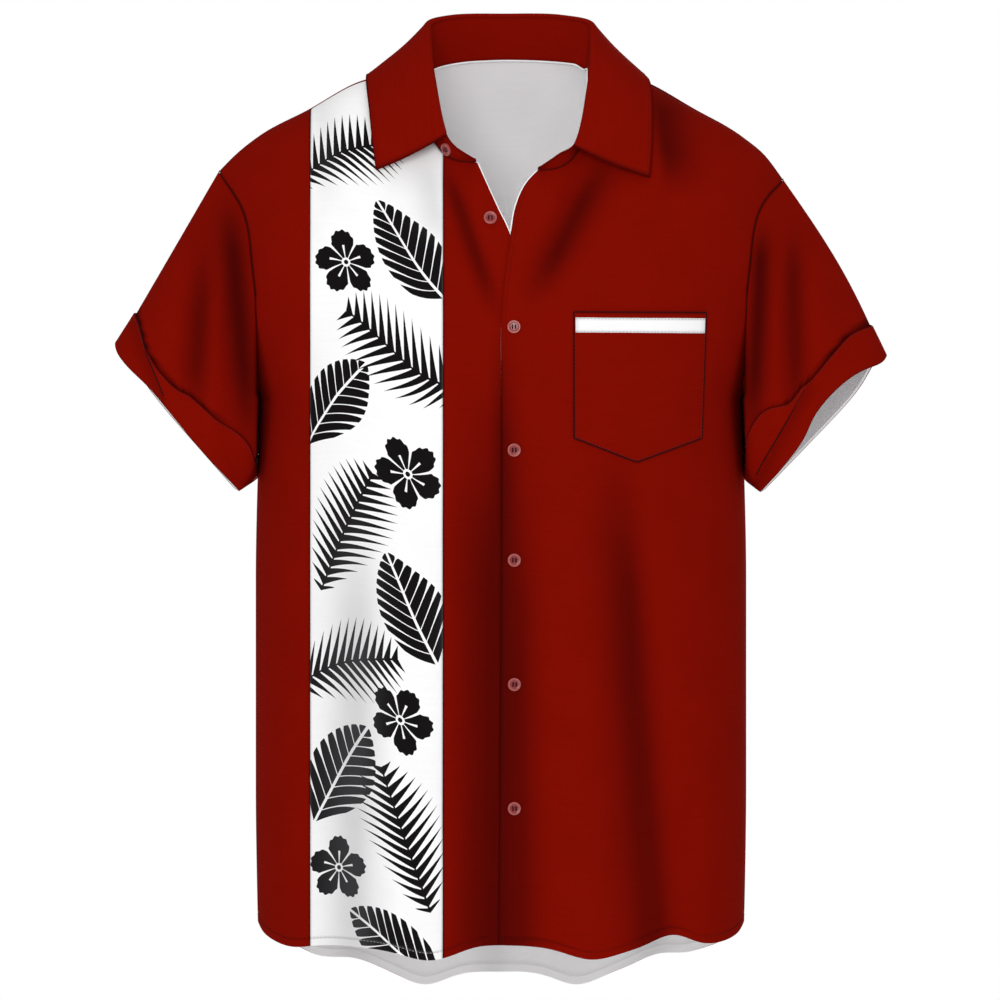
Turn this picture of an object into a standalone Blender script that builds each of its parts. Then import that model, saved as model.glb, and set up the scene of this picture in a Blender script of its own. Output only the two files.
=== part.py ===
"""A short-sleeved hawaiian shirt in its worn shape, hollow, with nobody in it.

Every length below is in millimetres and becomes metres when a mesh is made. X runs across the
shirt, towards the wearer's left, Y runs to the back and Z runs up. The origin lies between the
two points where the shoulder seams meet the collar, which is where a wearer's neck and
shoulders carry the shirt.

The cloth is one form that all the pieces share. A place on it is a side (front or back), an
angle `turn` round the body, from -90 at one side seam through 0 at the middle to 90 at the
other, and a `level`: the height up to the underarm, and from there a measure that runs to 0 on
top of the shoulder. A level above 0 has gone over the shoulder to the other side.
"""

import math

import bmesh
import bpy
import numpy as np

MM = 0.001

# Cloth
CLOTH = 1.2
CUFF_CLOTH = 2.0
COLLAR_CLOTH = 1.6
TRIM_CLOTH = 1.0
SEAM_GAP = 0.3
ARMHOLE_GAP = 0.4
LAYER_GAP = 0.35

# The worn form
FRONT, BACK = -1, 1
ARM_DEPTH = 275.0
SHOULDER_SEAM_FORWARD = 12.0
FRONT_DEPTH, BACK_DEPTH = 130.0, 116.0
FRONT_SQUARENESS, BACK_SQUARENESS = 0.20, 0.26

# Neck and front edges, as seen from the front
NECK_MIDDLE, NECK_HALF_WIDTH = 5.0, 70.0
NAPE_LEVEL = -72.0
NECK_ROUNDNESS = 3.0
UNDER_NECK_END = (-21.0, -75.0)
UPPER_NECK_END = (31.0, -82.0)
BUTTON_LINE = 11.0

# The white panel let into the front, and the pocket
INSERT_SEAMS = (-162.0, -49.0)
POCKET_LEFT, POCKET_RIGHT, POCKET_RIGHT_FOOT = 61.5, 173.5, 169.5
POCKET_TOP, POCKET_CORNER, POCKET_POINT = -202.5, -309.0, -329.5
POCKET_POINT_X, POCKET_LIFT = 116.5, 0.5
TRIM_TOP, TRIM_FOOT, TRIM_INSET = -207.5, -220.0, 1.6

# How finely the cloth is divided
ROWS_BODY, ROWS_CHEST, ROWS_NECK = 12, 7, 6
ROWS_ARMHOLE = ROWS_CHEST + ROWS_NECK
ROWS_SLEEVE = (0, 0.13, 0.26, 0.39, 0.52, 0.64, 0.74, 0.82, 0.89, 0.94, 0.985)
ROWS_CUFF, ROWS_STAND = 5, 3
COLUMNS_SIDE, COLUMNS_INSERT, COLUMNS_SHOULDER, COLUMNS_NAPE = 7, 12, 11, 10
COLUMNS_CENTRE = (-49, -41, -33, -25, -17, -10, -4, 0, 5.5, 11, 16.5, 20.5)
COLUMNS_UPPER = (
    0, 5.5, 11, 16.5, 22, 30, 39, 48, 57, 66, 75, 84, 93, 102, 111, 120, 129, 138, 147, 156,
    165, 175, 185, 196, 208.5,
)
LEAF_COLUMN = 0.024


def table(columns, *rows):
    """Rows of numbers as dictionaries with the named columns."""
    return [dict(zip(columns.split(), row)) for row in rows]


# Rings of the body below the armholes.
BODY = table(
    "height half_width front back",
    (-800, 205.0, 117, 110),
    (-600, 208.5, 121, 106),
    (-430, 208.5, 127, 109),
    (-275, 205.0, 130, 116),
)

# Half width of the form from the underarm (0) to the top of the shoulder (1).
CHEST = table(
    "rise half_width",
    (0.0, 205), (0.1, 216), (0.2, 226), (0.35, 233), (0.55, 237), (0.75, 239), (1.0, 240),
)

# The top of the shoulders, for the wearer's right (seen on the left) and left.
SHOULDER = table(
    "out right left",
    (0, 43, 43), (14, 43, 43), (40, 27, 31), (70, 3, 8), (92, 0, 2), (116, -4, -3),
    (165, -30, -29), (206, -52, -53), (225, -67, -69), (240, -82, -89),
)

# How far round the armhole's edge lies from the side, by height from the underarm (0) to the
# top of the shoulder (1).
ARMHOLE = table(
    "rise inwards",
    (0.0, 0.0), (0.015, 6.5), (0.07, 13.6), (0.17, 21.5), (0.28, 24.8), (0.39, 24.8),
    (0.53, 22.4), (0.65, 16.8), (0.76, 11.0), (0.88, 5.2), (1.0, 0.0),
)

# How round the form is between chest and shoulder: 2 is an ellipse, less is flatter.
ROUNDNESS = table(
    "out front back",
    (0, 1.35, 1.80), (70, 1.50, 1.85), (160, 2.00, 2.10), (240, 2.00, 2.10),
)

# The cut edge of the hem, by angle from the middle, on each side.
HEM = table(
    "turn front back",
    (0, -737.5, -764), (30, -740, -762), (50, -739, -751), (66, -735, -742),
    (77, -728, -732), (85, -720.5, -721.5), (90, -718, -718),
)

# The two front edges above the buttoned part.
UPPER_EDGE = table(
    "height across",
    (-800, -3), (-300, 0), (-208, 0), (-165, 4), (-138, 8), (-112, 13), (-95, 21), (-82, 31),
)
UNDER_EDGE = table(
    "height across",
    (-800, 20), (-300, 22), (-230, 21), (-175, 17), (-138, 8), (-106, -6), (-86, -16), (-75, -21),
)

# Folds of the front, as seen from the front: a line from its top to its foot, half its width,
# how far the cloth stands out (or falls back, below 0) and how far it carries the hem.
FRONT_FOLDS = table(
    "top_x top_z foot_x foot_z width out hem",
    (-136, -400, -140, -800, 20, -7.0, 1.5),    # trough down the white panel
    (-74, -430, -60, -800, 31, 5.0, -11.0),     # swell beside it
    (-22, -250, -20, -800, 17, -7.0, 1.0),      # trough beside the buttoned edge
    (-46, -70, -4, -205, 9, -4.5, 0.0),         # drag line from the collar to the edge
    (82, -62, 24, -190, 15, -6.5, 0.0),         # drag line from the collar to the edge
    (56, -40, 30, -150, 14, 3.0, 0.0),          # swell inside it
    (24, -240, 25, -800, 14, -4.5, 0.0),        # trough beside the buttons
    (74, -420, 77, -800, 29, 5.0, -10.0),       # swell
    (106, -330, 145, -800, 21, -8.5, 10.0),     # long trough from the pocket's point
    (186, -480, 182, -800, 20, 3.5, 0.0),       # swell towards the side
    (150, -60, 128, -160, 14, -3.5, 0.0),       # hollow under the collar's leaf
    (-186, -330, -180, -800, 16, 2.5, -2.0),    # swell towards the side
)

# Folds of the back, in the same columns.
BACK_FOLDS = table(
    "top_x top_z foot_x foot_z width out hem",
    (-150, -250, -126, -800, 24, -7.0, 7.0),
    (-80, -330, -65, -800, 24, 6.0, -11.0),
    (-18, -300, -4, -800, 22, -6.5, 0.0),
    (52, -360, 65, -800, 25, 6.0, -11.0),
    (118, -280, 134, -800, 24, -7.0, 9.0),
    (180, -400, 180, -800, 16, 3.0, -2.0),
)

# Sleeves, as seen from the front: the two ends of the hem line, how far the hem reaches to the
# front and back of its middle and how far its front and back hang below the line.
SLEEVES = {
    "right": {
        "sign": -1, "outer": (-324, -235), "inner": (-223, -353), "middle_y": -14,
        "front": 40, "back": 42, "front_drop": 1, "back_drop": 4, "flare": 4.0, "swell": 0.0,
        # Width of the turned-up cuff, by angle from the inside (0) over the front (90).
        "cuff": table("angle width", (0, 28), (30, 28), (60, 25), (88, 19), (112, 17.5),
                      (145, 24), (180, 30), (270, 26), (360, 28)),
        "folds": table(
            "top_x top_z foot_x foot_z width out",
            (-224, -140, -224, -330, 11, -5.0), (-241, -120, -243, -330, 12, 2.5),
            (-260, -130, -263, -300, 14, -6.0), (-285, -150, -290, -280, 14, 2.0),
        ),
    },
    "left": {
        "sign": 1, "outer": (325, -241), "inner": (221, -354), "middle_y": -14,
        "front": 44, "back": 42, "front_drop": -13, "back_drop": 1, "flare": 3.6, "swell": 7.0,
        "cuff": table("angle width", (0, 42), (30, 38), (60, 27), (90, 21), (120, 21),
                      (150, 28), (180, 34), (270, 34), (360, 42)),
        "folds": table(
            "top_x top_z foot_x foot_z width out",
            (221, -140, 222, -330, 11, -3.5), (246, -150, 244, -330, 13, -6.5),
            (270, -150, 274, -300, 14, 3.0), (292, -160, 300, -280, 13, -2.0),
        ),
    },
}

# How a sleeve lies along the body on the inside of the arm: share of the way down, how far it
# stands off the body's side and how closely it keeps to that.
INSIDE_ARM = table(
    "way off keeps",
    (0.0, 0.0, 0.0), (0.25, 2.4, 0.9), (0.5, 3.5, 1.0), (0.66, 6.0, 1.0), (0.86, 6.5, 0.9),
    (0.94, 6.5, 0.55), (1.0, 6.5, 0.0),
)

# The collar, from the wearer's right end over the nape to the left end. `way` is the share
# of the neck seam. The top of the stand is given as seen from the front, with its depth.
STAND_TOP = table(
    "way x y z",
    (0.00, -22, -90, -73), (0.06, -40, -84, -61), (0.12, -52, -74, -49), (0.22, -57, -42, -2),
    (0.34, -59, 6, 40), (0.42, -40, 36, 49), (0.50, 5, 47, 50), (0.58, 50, 37, 49),
    (0.66, 76, 6, 40), (0.78, 74, -42, -6), (0.88, 68, -76, -62), (0.94, 53, -84, -69),
    (1.00, 33, -90, -79),
)
# The outer edge of the collar's leaf, over the same shares, where the leaf is worn folded.
LEAF_START, LEAF_END = 0.12, 0.88
LEAF_EDGE = table(
    "way x y z",
    (0.12, -106, -66, -88), (0.17, -110, -52, -58), (0.22, -113, -34, -26), (0.27, -115, -2, 2),
    (0.33, -101, 36, 0), (0.41, -62, 72, -4), (0.50, 5, 86, -6), (0.59, 72, 72, -4),
    (0.67, 111, 36, 0), (0.73, 125, -2, 1), (0.78, 126, -34, -28), (0.83, 125, -54, -63),
    (0.88, 123, -70, -93),
)
LEAF_BULGE = 4.0
LEAF_FOLD = 3.4
LEAF_REST = 4.8
FOLD_STEPS, FALL_STEPS = 3, 4

# Buttons
BUTTON_RADIUS, BUTTON_HEIGHT, BUTTON_DISH, BUTTON_LIFT = 5.6, 2.3, 0.6, 0.8
HOLE_RADIUS, HOLE_SPREAD = 0.65, 1.35
BUTTON_SIDES, HOLE_SIDES = 18, 6
UPPER_BUTTONS = (-215.0, -319.0, -412.0, -517.0, -622.0)
UNDER_BUTTON = (-9.0, -122.0)
STAND_BUTTON = (0.085, 0.5)

COLOURS = {
    "red": (0.195, 0.0033, 0.0003, 1.0),
    "white": (0.90, 0.90, 0.90, 1.0),
    "button": (0.24, 0.028, 0.026, 1.0),
}


# ---------------------------------------------------------------- reading the tables

def read(rows, key, column, at):
    """A column of a table at the places `at` of its key column, on one smooth curve."""
    x = np.array([row[key] for row in rows], float)
    y = np.array([row[column] for row in rows], float)
    step = np.diff(x)
    rise = np.diff(y) / step
    slope = np.empty_like(y)
    slope[0], slope[-1] = rise[0], rise[-1]
    level = rise[:-1] * rise[1:] <= 0
    slope[1:-1] = np.where(level, 0, (rise[:-1] * step[1:] + rise[1:] * step[:-1]) / (step[:-1] + step[1:]))
    at = np.clip(np.asarray(at, float), x[0], x[-1])
    i = np.clip(np.searchsorted(x, at, side="right") - 1, 0, len(x) - 2)
    t = (at - x[i]) / step[i]
    u = 1 - t
    ends = y[i] * (1 + 2 * t) * u * u + y[i + 1] * (1 + 2 * u) * t * t
    return ends + step[i] * t * u * (slope[i] * u - slope[i + 1] * t)


def ease(x, start, end):
    """0 before start, 1 after end and smooth between them."""
    t = np.clip((x - start) / (end - start), 0, 1)
    return t * t * (3 - 2 * t)


def fold_height(folds, x, z):
    """How far the folds of a table move the cloth out at these places."""
    out = np.zeros(np.broadcast(x, z).shape)
    for fold in folds:
        reach = fold["top_z"] - fold["foot_z"]
        share = (fold["top_z"] - z) / reach
        centre = fold["top_x"] + (fold["foot_x"] - fold["top_x"]) * np.clip(share, 0, 1)
        fades_in = ease(share, -0.05, 0.35)
        fades_out = 1 if fold["foot_z"] <= -800 else 1 - ease(share, 0.70, 1.1)
        out = out + fold["out"] * fades_in * fades_out * np.exp(-(((x - centre) / fold["width"]) ** 2))
    return out


# ---------------------------------------------------------------- the worn form

def half_width(level):
    rise = 1 + np.minimum(level, 0) / ARM_DEPTH
    return np.where(
        rise > 0, read(CHEST, "rise", "half_width", rise), read(BODY, "height", "half_width", level)
    )


def form(side, turn, level):
    """The point of the worn cloth's outer face at this side, turn and level."""
    turn, level = np.broadcast_arrays(np.asarray(turn, float), np.asarray(level, float))
    side = np.where(level > 0, -side, side)
    level = -np.abs(level)
    rise = np.clip(1 + level / ARM_DEPTH, 0, 1)
    angle = rise * math.pi / 2
    sine, cosine = np.sin(np.radians(turn)), np.cos(np.radians(turn))
    x = half_width(level) * sine
    out = np.abs(x)
    shoulder = np.where(x < 0, read(SHOULDER, "out", "right", out), read(SHOULDER, "out", "left", out))
    is_front = side == FRONT
    power = 2 / np.where(
        is_front, read(ROUNDNESS, "out", "front", out), read(ROUNDNESS, "out", "back", out)
    )
    climbed = np.where(rise > 0, (shoulder + ARM_DEPTH) * np.sin(angle) ** power, 0)
    z = np.where(rise > 0, -ARM_DEPTH, level) + climbed
    kept = np.clip(np.cos(angle), 0, 1) ** power
    front = np.where(rise > 0, FRONT_DEPTH * kept, read(BODY, "height", "front", level))
    back = np.where(rise > 0, BACK_DEPTH * kept, read(BODY, "height", "back", level))
    square = np.where(is_front, FRONT_SQUARENESS, BACK_SQUARENESS)
    depth = np.where(is_front, front, back) * cosine * (1 + square * sine**2)
    folds = np.where(is_front, fold_height(FRONT_FOLDS, x, z), fold_height(BACK_FOLDS, x, z))
    depth = depth + folds * (1 - np.abs(sine) ** 5)
    return np.stack([x, side * depth, z], axis=-1)


def facing(side, turn, level):
    """The direction that the cloth faces, outwards, at places of the form."""
    step = 0.5
    over = form(side, turn, level + step) - form(side, turn, level - step)
    round_it = form(side, turn + step, level) - form(side, turn - step, level)
    normal = np.cross(round_it, over) * -side
    return normal / np.linalg.norm(normal, axis=-1, keepdims=True)


def turn_at(x, level):
    return np.degrees(np.arcsin(np.clip(x / half_width(level), -1, 1)))


def place(x, z):
    """Turn and level of the front where it shows at x and z."""
    out = np.abs(x)
    shoulder = np.where(x < 0, read(SHOULDER, "out", "right", out), read(SHOULDER, "out", "left", out))
    share = np.clip((z + ARM_DEPTH) / (shoulder + ARM_DEPTH), 0, 1)
    angle = np.arcsin(share ** (read(ROUNDNESS, "out", "front", out) / 2))
    level = np.where(z < -ARM_DEPTH, z, -ARM_DEPTH * (1 - angle / (math.pi / 2)))
    return turn_at(x, level), level


def hem_level(side, turn):
    """Height of the hem, with what the folds lift or drop."""
    column, folds = ("front", FRONT_FOLDS) if side == FRONT else ("back", BACK_FOLDS)
    level = read(HEM, "turn", column, np.abs(turn))
    x = half_width(level) * np.sin(np.radians(turn))
    for fold in folds:
        if fold["foot_z"] <= -800:
            level = level + fold["hem"] * np.exp(-(((x - fold["foot_x"]) / fold["width"]) ** 2))
    return level


def armhole_turn(level):
    return 90 - read(ARMHOLE, "rise", "inwards", 1 + level / ARM_DEPTH)


# ---------------------------------------------------------------- outlines of the panels

def upright(foot, top, turn_of):
    """An edge from the hem up to level `top`, as turns and levels."""
    body = np.linspace(foot, -ARM_DEPTH, ROWS_BODY + 1)
    chest = np.linspace(-ARM_DEPTH, top, ROWS_CHEST + 1)[1:]
    level = np.concatenate([body, chest])
    return np.stack([turn_of(level), level], axis=-1)


def side_edge(side, sign):
    """The side seam and the armhole's edge, from the hem to the shoulder seam."""
    body = np.linspace(hem_level(side, 90.0), -ARM_DEPTH, ROWS_BODY + 1)
    last = -SHOULDER_SEAM_FORWARD if side == FRONT else SHOULDER_SEAM_FORWARD
    rise = np.linspace(0, 1, ROWS_ARMHOLE + 1)[1:] ** 1.3
    arm = -ARM_DEPTH + (ARM_DEPTH + last) * rise
    turn = np.concatenate([np.full(ROWS_BODY + 1, 90.0), armhole_turn(-np.abs(arm))])
    return np.stack([sign * turn, np.concatenate([body, arm])], axis=-1)


def shoulder_seam(from_x, to_x, columns):
    """Part of the shoulder seam on the front, between two places across."""
    x = from_x + (to_x - from_x) * shares(columns)
    level = np.full_like(x, -SHOULDER_SEAM_FORWARD)
    return np.stack([turn_at(x, level), level], axis=-1)


def side_neck(sign):
    """Where the shoulder seam meets the neck seam: x, z."""
    x = NECK_MIDDLE + sign * NECK_HALF_WIDTH
    point = form(FRONT, turn_at(x, -SHOULDER_SEAM_FORWARD), -SHOULDER_SEAM_FORWARD)
    return x, float(point[2])


def neckline(sign, end, at):
    """The front neck seam between the front edge (0) and the shoulder seam (1)."""
    x1, z1 = side_neck(sign)
    angle = np.asarray(at) * math.pi / 2
    x = end[0] + (x1 - end[0]) * np.sin(angle) ** (2 / NECK_ROUNDNESS)
    z = z1 - (z1 - end[1]) * np.clip(np.cos(angle), 0, 1) ** (2 / NECK_ROUNDNESS)
    turn, level = place(x, z)
    level = np.where(angle > math.pi / 2 - 1e-6, -SHOULDER_SEAM_FORWARD, level)
    return np.stack([turn, level], axis=-1)


def share_at(sign, end, x):
    """The share of the front neck seam that lies at x."""
    across = (x - end[0]) / (side_neck(sign)[0] - end[0])
    return math.asin(across ** (NECK_ROUNDNESS / 2)) / (math.pi / 2)


def shares(columns):
    """The places of columns between two edges, as shares from 0 to 1."""
    if isinstance(columns, int):
        return np.linspace(0, 1, columns + 1)
    turn = turn_at(np.array(columns, float), -ARM_DEPTH)
    return (turn - turn[0]) / (turn[-1] - turn[0])


def hem(side, from_turn, to_turn, columns):
    turn = from_turn + (to_turn - from_turn) * shares(columns)
    return np.stack([turn, hem_level(side, turn)], axis=-1)


def front_edge(rows, neck_end):
    """A front edge from the hem up to the neck seam."""
    def turn_of(level):
        height = form(FRONT, 0.0, level)[..., 2]
        return turn_at(read(rows, "height", "across", height), level)

    turn, level = place(*neck_end)
    edge = upright(-731.0, float(level), turn_of)
    edge[-1] = turn, level
    edge[0, 1] = hem_level(FRONT, edge[0, 0])
    return edge


def filled(foot, top, left, right, columns):
    """A net of places inside four edges: rows run from foot to top."""
    rows = len(left)
    u = shares(columns)[None, :, None]
    v = np.linspace(0, 1, rows)[:, None, None]
    between = (1 - v) * foot[None] + v * top[None] + (1 - u) * left[:, None] + u * right[:, None]
    corners = (
        (1 - u) * (1 - v) * foot[0] + u * (1 - v) * foot[-1] + (1 - u) * v * top[0] + u * v * top[-1]
    )
    return between - corners


# ---------------------------------------------------------------- walls

def unit(v):
    return v / np.maximum(np.linalg.norm(v, axis=-1, keepdims=True), 1e-9)


def eased_back(points, gap, sides="foot top left right"):
    """The net with its named edges drawn in by half a seam's gap."""
    points = points.copy()
    inner = {
        "foot": (np.s_[0], np.s_[1]), "top": (np.s_[-1], np.s_[-2]),
        "left": (np.s_[:, 0], np.s_[:, 1]), "right": (np.s_[:, -1], np.s_[:, -2]),
    }
    for side in sides.split():
        edge, beside = inner[side]
        points[edge] += unit(points[beside] - points[edge]) * gap / 2
    return points


def net_facing(points, is_round):
    """The direction that a net faces, from its own points."""
    if is_round:
        around = np.roll(points, -1, axis=1) - np.roll(points, 1, axis=1)
    else:
        around = np.gradient(points, axis=1)
    return unit(np.cross(around, np.gradient(points, axis=0)))


def add_mesh(name, points, faces, colour, roughness):
    mesh = bpy.data.meshes.new(name)
    mesh.from_pydata((points * MM).tolist(), [], faces)
    shell = bmesh.new()
    shell.from_mesh(mesh)
    bmesh.ops.recalc_face_normals(shell, faces=shell.faces)
    shell.to_mesh(mesh)
    shell.free()
    mesh.materials.append(material(colour, roughness))
    mesh.shade_smooth()
    mesh.set_sharp_from_angle(angle=math.radians(50))
    thing = bpy.data.objects.new(name, mesh)
    shirt.objects.link(thing)
    return thing


def add_wall(name, outer, faces_out, thickness, colour="red", is_round=False):
    """A wall of cloth: a loft from the outer net to an inner one, closed round its edges."""
    rows, columns = outer.shape[:2]
    inner = outer - faces_out * np.asarray(thickness)[..., None]
    points = np.concatenate([outer.reshape(-1, 3), inner.reshape(-1, 3)])
    under = rows * columns
    last = columns if is_round else columns - 1

    def corner(i, j):
        return i * columns + j % columns

    faces = []
    for i in range(rows - 1):
        for j in range(last):
            quad = [corner(i, j), corner(i, j + 1), corner(i + 1, j + 1), corner(i + 1, j)]
            faces.append(quad)
            faces.append([under + k for k in reversed(quad)])
    for j in range(last):
        for i in (0, rows - 1):
            a, b = corner(i, j), corner(i, j + 1)
            faces.append([a, b, under + b, under + a])
    if not is_round:
        for i in range(rows - 1):
            for j in (0, columns - 1):
                a, b = corner(i, j), corner(i + 1, j)
                faces.append([a, b, under + b, under + a])
    return add_mesh(name, points, faces, colour, 0.62)


def add_panel(name, side, net, colour="red", sunk=None, edges=()):
    """A panel of the form. `edges` gives the armhole edges, with the facing they share there."""
    turn, level = net[..., 0], net[..., 1]
    points, faces_out = form(side, turn, level), facing(side, turn, level)
    if sunk is not None:
        points = points - faces_out * sunk(points[..., 0])[..., None]
    gap = {"foot": 0, "top": SEAM_GAP, "left": SEAM_GAP, "right": SEAM_GAP}
    for where in gap:
        if gap[where]:
            points = eased_back(points, gap[where], where)
    for column, shared in edges:
        faces_out[ROWS_BODY:, column] = shared
    return add_wall(name, points, faces_out, np.full(points.shape[:2], CLOTH), colour)


# ---------------------------------------------------------------- the body's pieces

def front_nets():
    """The nets of the four front pieces."""
    left_seam, right_seam = INSERT_SEAMS

    def at(x):
        return lambda level: turn_at(x, level)

    seam_foot = [float(turn_at(x, -735.0)) for x in INSERT_SEAMS]
    seam_share = share_at(-1, UNDER_NECK_END, right_seam)
    seam_top = neckline(-1, UNDER_NECK_END, [seam_share])[0]

    outer_side = side_edge(FRONT, -1)
    outer_seam = upright(hem_level(FRONT, seam_foot[0]), -SHOULDER_SEAM_FORWARD, at(left_seam))
    chest = np.linspace(-ARM_DEPTH, -SHOULDER_SEAM_FORWARD, ROWS_ARMHOLE + 1)[1:]
    outer_seam = np.concatenate(
        [outer_seam[: ROWS_BODY + 1], np.stack([turn_at(left_seam, chest), chest], axis=-1)]
    )
    inner_seam = upright(hem_level(FRONT, seam_foot[1]), float(seam_top[1]), at(right_seam))
    inner_seam[-1] = seam_top
    neck = neckline(-1, UNDER_NECK_END, np.linspace(seam_share, 1, ROWS_NECK + 1)[1:])
    insert_right = np.concatenate([inner_seam, neck])
    under = front_edge(UNDER_EDGE, UNDER_NECK_END)
    upper = front_edge(UPPER_EDGE, UPPER_NECK_END)
    upper_neck = neckline(1, UPPER_NECK_END, np.linspace(0, 1, ROWS_NECK + 1)[1:])
    upper_left = np.concatenate([upper, upper_neck])
    other_side = side_edge(FRONT, 1)

    def tip(edge):
        return float(form(FRONT, edge[-1, 0], edge[-1, 1])[0])

    return {
        "side": filled(
            hem(FRONT, -90, seam_foot[0], COLUMNS_SIDE),
            shoulder_seam(tip(outer_side), left_seam, COLUMNS_SIDE),
            outer_side, outer_seam, COLUMNS_SIDE,
        ),
        "insert": filled(
            hem(FRONT, seam_foot[0], seam_foot[1], COLUMNS_INSERT),
            shoulder_seam(left_seam, side_neck(-1)[0], COLUMNS_INSERT),
            outer_seam, insert_right, COLUMNS_INSERT,
        ),
        "centre": filled(
            hem(FRONT, seam_foot[1], under[0, 0], COLUMNS_CENTRE),
            neckline(-1, UNDER_NECK_END, seam_share * (1 - shares(COLUMNS_CENTRE))),
            inner_seam, under, COLUMNS_CENTRE,
        ),
        "upper": filled(
            hem(FRONT, upper[0, 0], 90, COLUMNS_UPPER),
            shoulder_seam(side_neck(1)[0], tip(other_side), COLUMNS_UPPER),
            upper_left, other_side, COLUMNS_UPPER,
        ),
    }


def back_net():
    """The net of the back, which reaches over the shoulders to the seam in front of them."""
    across = np.linspace(-1, 1, COLUMNS_NAPE + 1)
    x = NECK_MIDDLE + NECK_HALF_WIDTH * np.sin(across * math.pi / 2)
    dip = np.sqrt(np.clip(1 - np.sin(across * math.pi / 2) ** 2, 0, 1))
    level = SHOULDER_SEAM_FORWARD - (SHOULDER_SEAM_FORWARD - NAPE_LEVEL) * dip
    nape = np.stack([turn_at(x, -np.abs(level)), level], axis=-1)
    left, right = side_edge(BACK, -1), side_edge(BACK, 1)

    def seam(from_x, to_x):
        part = shoulder_seam(from_x, to_x, COLUMNS_SHOULDER)
        part[:, 1] = SHOULDER_SEAM_FORWARD
        return part

    tips = [float(form(BACK, edge[-1, 0], edge[-1, 1])[0]) for edge in (left, right)]
    top = np.concatenate([
        seam(tips[0], side_neck(-1)[0])[:-1], nape, seam(side_neck(1)[0], tips[1])[1:],
    ])
    columns = 2 * COLUMNS_SHOULDER + COLUMNS_NAPE
    return filled(hem(BACK, -90, 90, columns), top, left, right, columns)


# ---------------------------------------------------------------- sleeves and cuffs

def sleeve_hem(spec, count):
    """The loop of the sleeve's lower edge, from the inside of the arm over the front to the
    outside and back behind, at as many points as the armhole has."""
    outer, inner = np.array(spec["outer"], float), np.array(spec["inner"], float)
    middle, half = (outer + inner) / 2, (outer - inner) / 2
    down = unit(np.array([-half[1], half[0]]) * -spec["sign"])
    angle = loop_angle(count)
    along, across = -np.cos(angle), np.sin(angle)
    drop = np.where(across > 0, spec["front_drop"], spec["back_drop"]) * np.abs(across)
    xz = middle + half * along[:, None] + down * drop[:, None]
    reach = np.where(across > 0, spec["front"], spec["back"])
    return np.stack([xz[:, 0], spec["middle_y"] - reach * across, xz[:, 1]], axis=-1)


def loop_angle(count):
    return np.linspace(0, 2 * math.pi, count, endpoint=False)


def sleeve_net(spec, armhole, at):
    """The sleeve between the armhole's loop (0) and its hem (1), with its folds. `at` is one
    share a row, or one a point."""
    count = len(armhole)
    share = np.asarray(at, float)
    share = np.broadcast_to(share if share.ndim == 2 else share[:, None], (len(share), count))
    net = armhole + share[..., None] * (sleeve_hem(spec, count) - armhole)
    angle = loop_angle(count)
    depthwise = np.sin(angle)
    net[..., 1] -= 7.0 * np.sin(share * math.pi) * depthwise
    net[..., 0] += spec["sign"] * spec["swell"] * np.sin(share * math.pi) * np.clip(-np.cos(angle), 0, 1) ** 3
    depth = np.where(net[..., 1] < 0, FRONT_DEPTH, BACK_DEPTH) * 1.12
    beside = half_width(net[..., 2]) * np.sqrt(np.clip(1 - (net[..., 1] / depth) ** 2, 0, 1))
    beside = spec["sign"] * (beside + read(INSIDE_ARM, "way", "off", share))
    keeps = read(INSIDE_ARM, "way", "keeps", share) * np.clip(np.cos(angle), 0, 1) ** 2
    net[..., 0] += (beside - net[..., 0]) * keeps
    folds = fold_height(spec["folds"], net[..., 0], net[..., 2])
    shown = ease(share, 0.0, 0.18) * (1 - ease(share, 0.72, 0.95))
    net[..., 1] -= folds * shown * np.where(depthwise > 0, 1, -0.6) * np.abs(depthwise) ** 0.7
    return net


def add_sleeve(name, spec, armhole, armhole_facing):
    """A sleeve and its turned-up cuff."""
    net = sleeve_net(spec, armhole, ROWS_SLEEVE)
    faces_out = net_facing(net, True) * -spec["sign"]
    faces_out[0] = shared_facing(faces_out[0], armhole_facing)
    points = eased_back(net, ARMHOLE_GAP, "foot")
    add_wall(f"sleeve_{name}", points, faces_out, np.full(points.shape[:2], CLOTH), is_round=True)

    length = np.linalg.norm(sleeve_net(spec, armhole, [1.0])[0] - armhole, axis=-1)
    width = read(spec["cuff"], "angle", "width", np.degrees(loop_angle(len(armhole))))
    down = np.linspace(0, 1, ROWS_CUFF + 1)[:, None]
    cuff = sleeve_net(spec, armhole, 1 - width / length * (1 - down))
    cuff_facing = net_facing(cuff, True) * -spec["sign"]
    away = spec["flare"] * np.linspace(0.35, 0.1, ROWS_CUFF + 1)[:, None, None]
    cuff = cuff + cuff_facing * (LAYER_GAP + CUFF_CLOTH + away)
    thick = np.full(cuff.shape[:2], CUFF_CLOTH)
    add_wall(f"cuff_{name}", cuff, cuff_facing, thick, is_round=True)


def shared_facing(one, other):
    """One direction for two edges that meet, and each its own where the cloth doubles back."""
    alike = np.sum(one * other, axis=-1, keepdims=True)
    return unit(one + other * ease(alike, -0.1, 0.5))


# ---------------------------------------------------------------- collar

def neck_loop(nets, back):
    """The neck seam from the wearer's right front edge round the nape to the left one."""
    centre, insert, upper = nets["centre"], nets["insert"], nets["upper"]
    first = form(FRONT, centre[-1, ::-1, 0], centre[-1, ::-1, 1])
    chest = ROWS_BODY + ROWS_CHEST
    second = form(FRONT, insert[chest + 1:, -1, 0], insert[chest + 1:, -1, 1])
    nape = back[-1, COLUMNS_SHOULDER + 1: COLUMNS_SHOULDER + COLUMNS_NAPE]
    third = form(BACK, nape[:, 0], nape[:, 1])
    last = form(FRONT, upper[chest:, 0, 0][::-1], upper[chest:, 0, 1][::-1])
    return np.concatenate([first, second, third, last])


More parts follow.
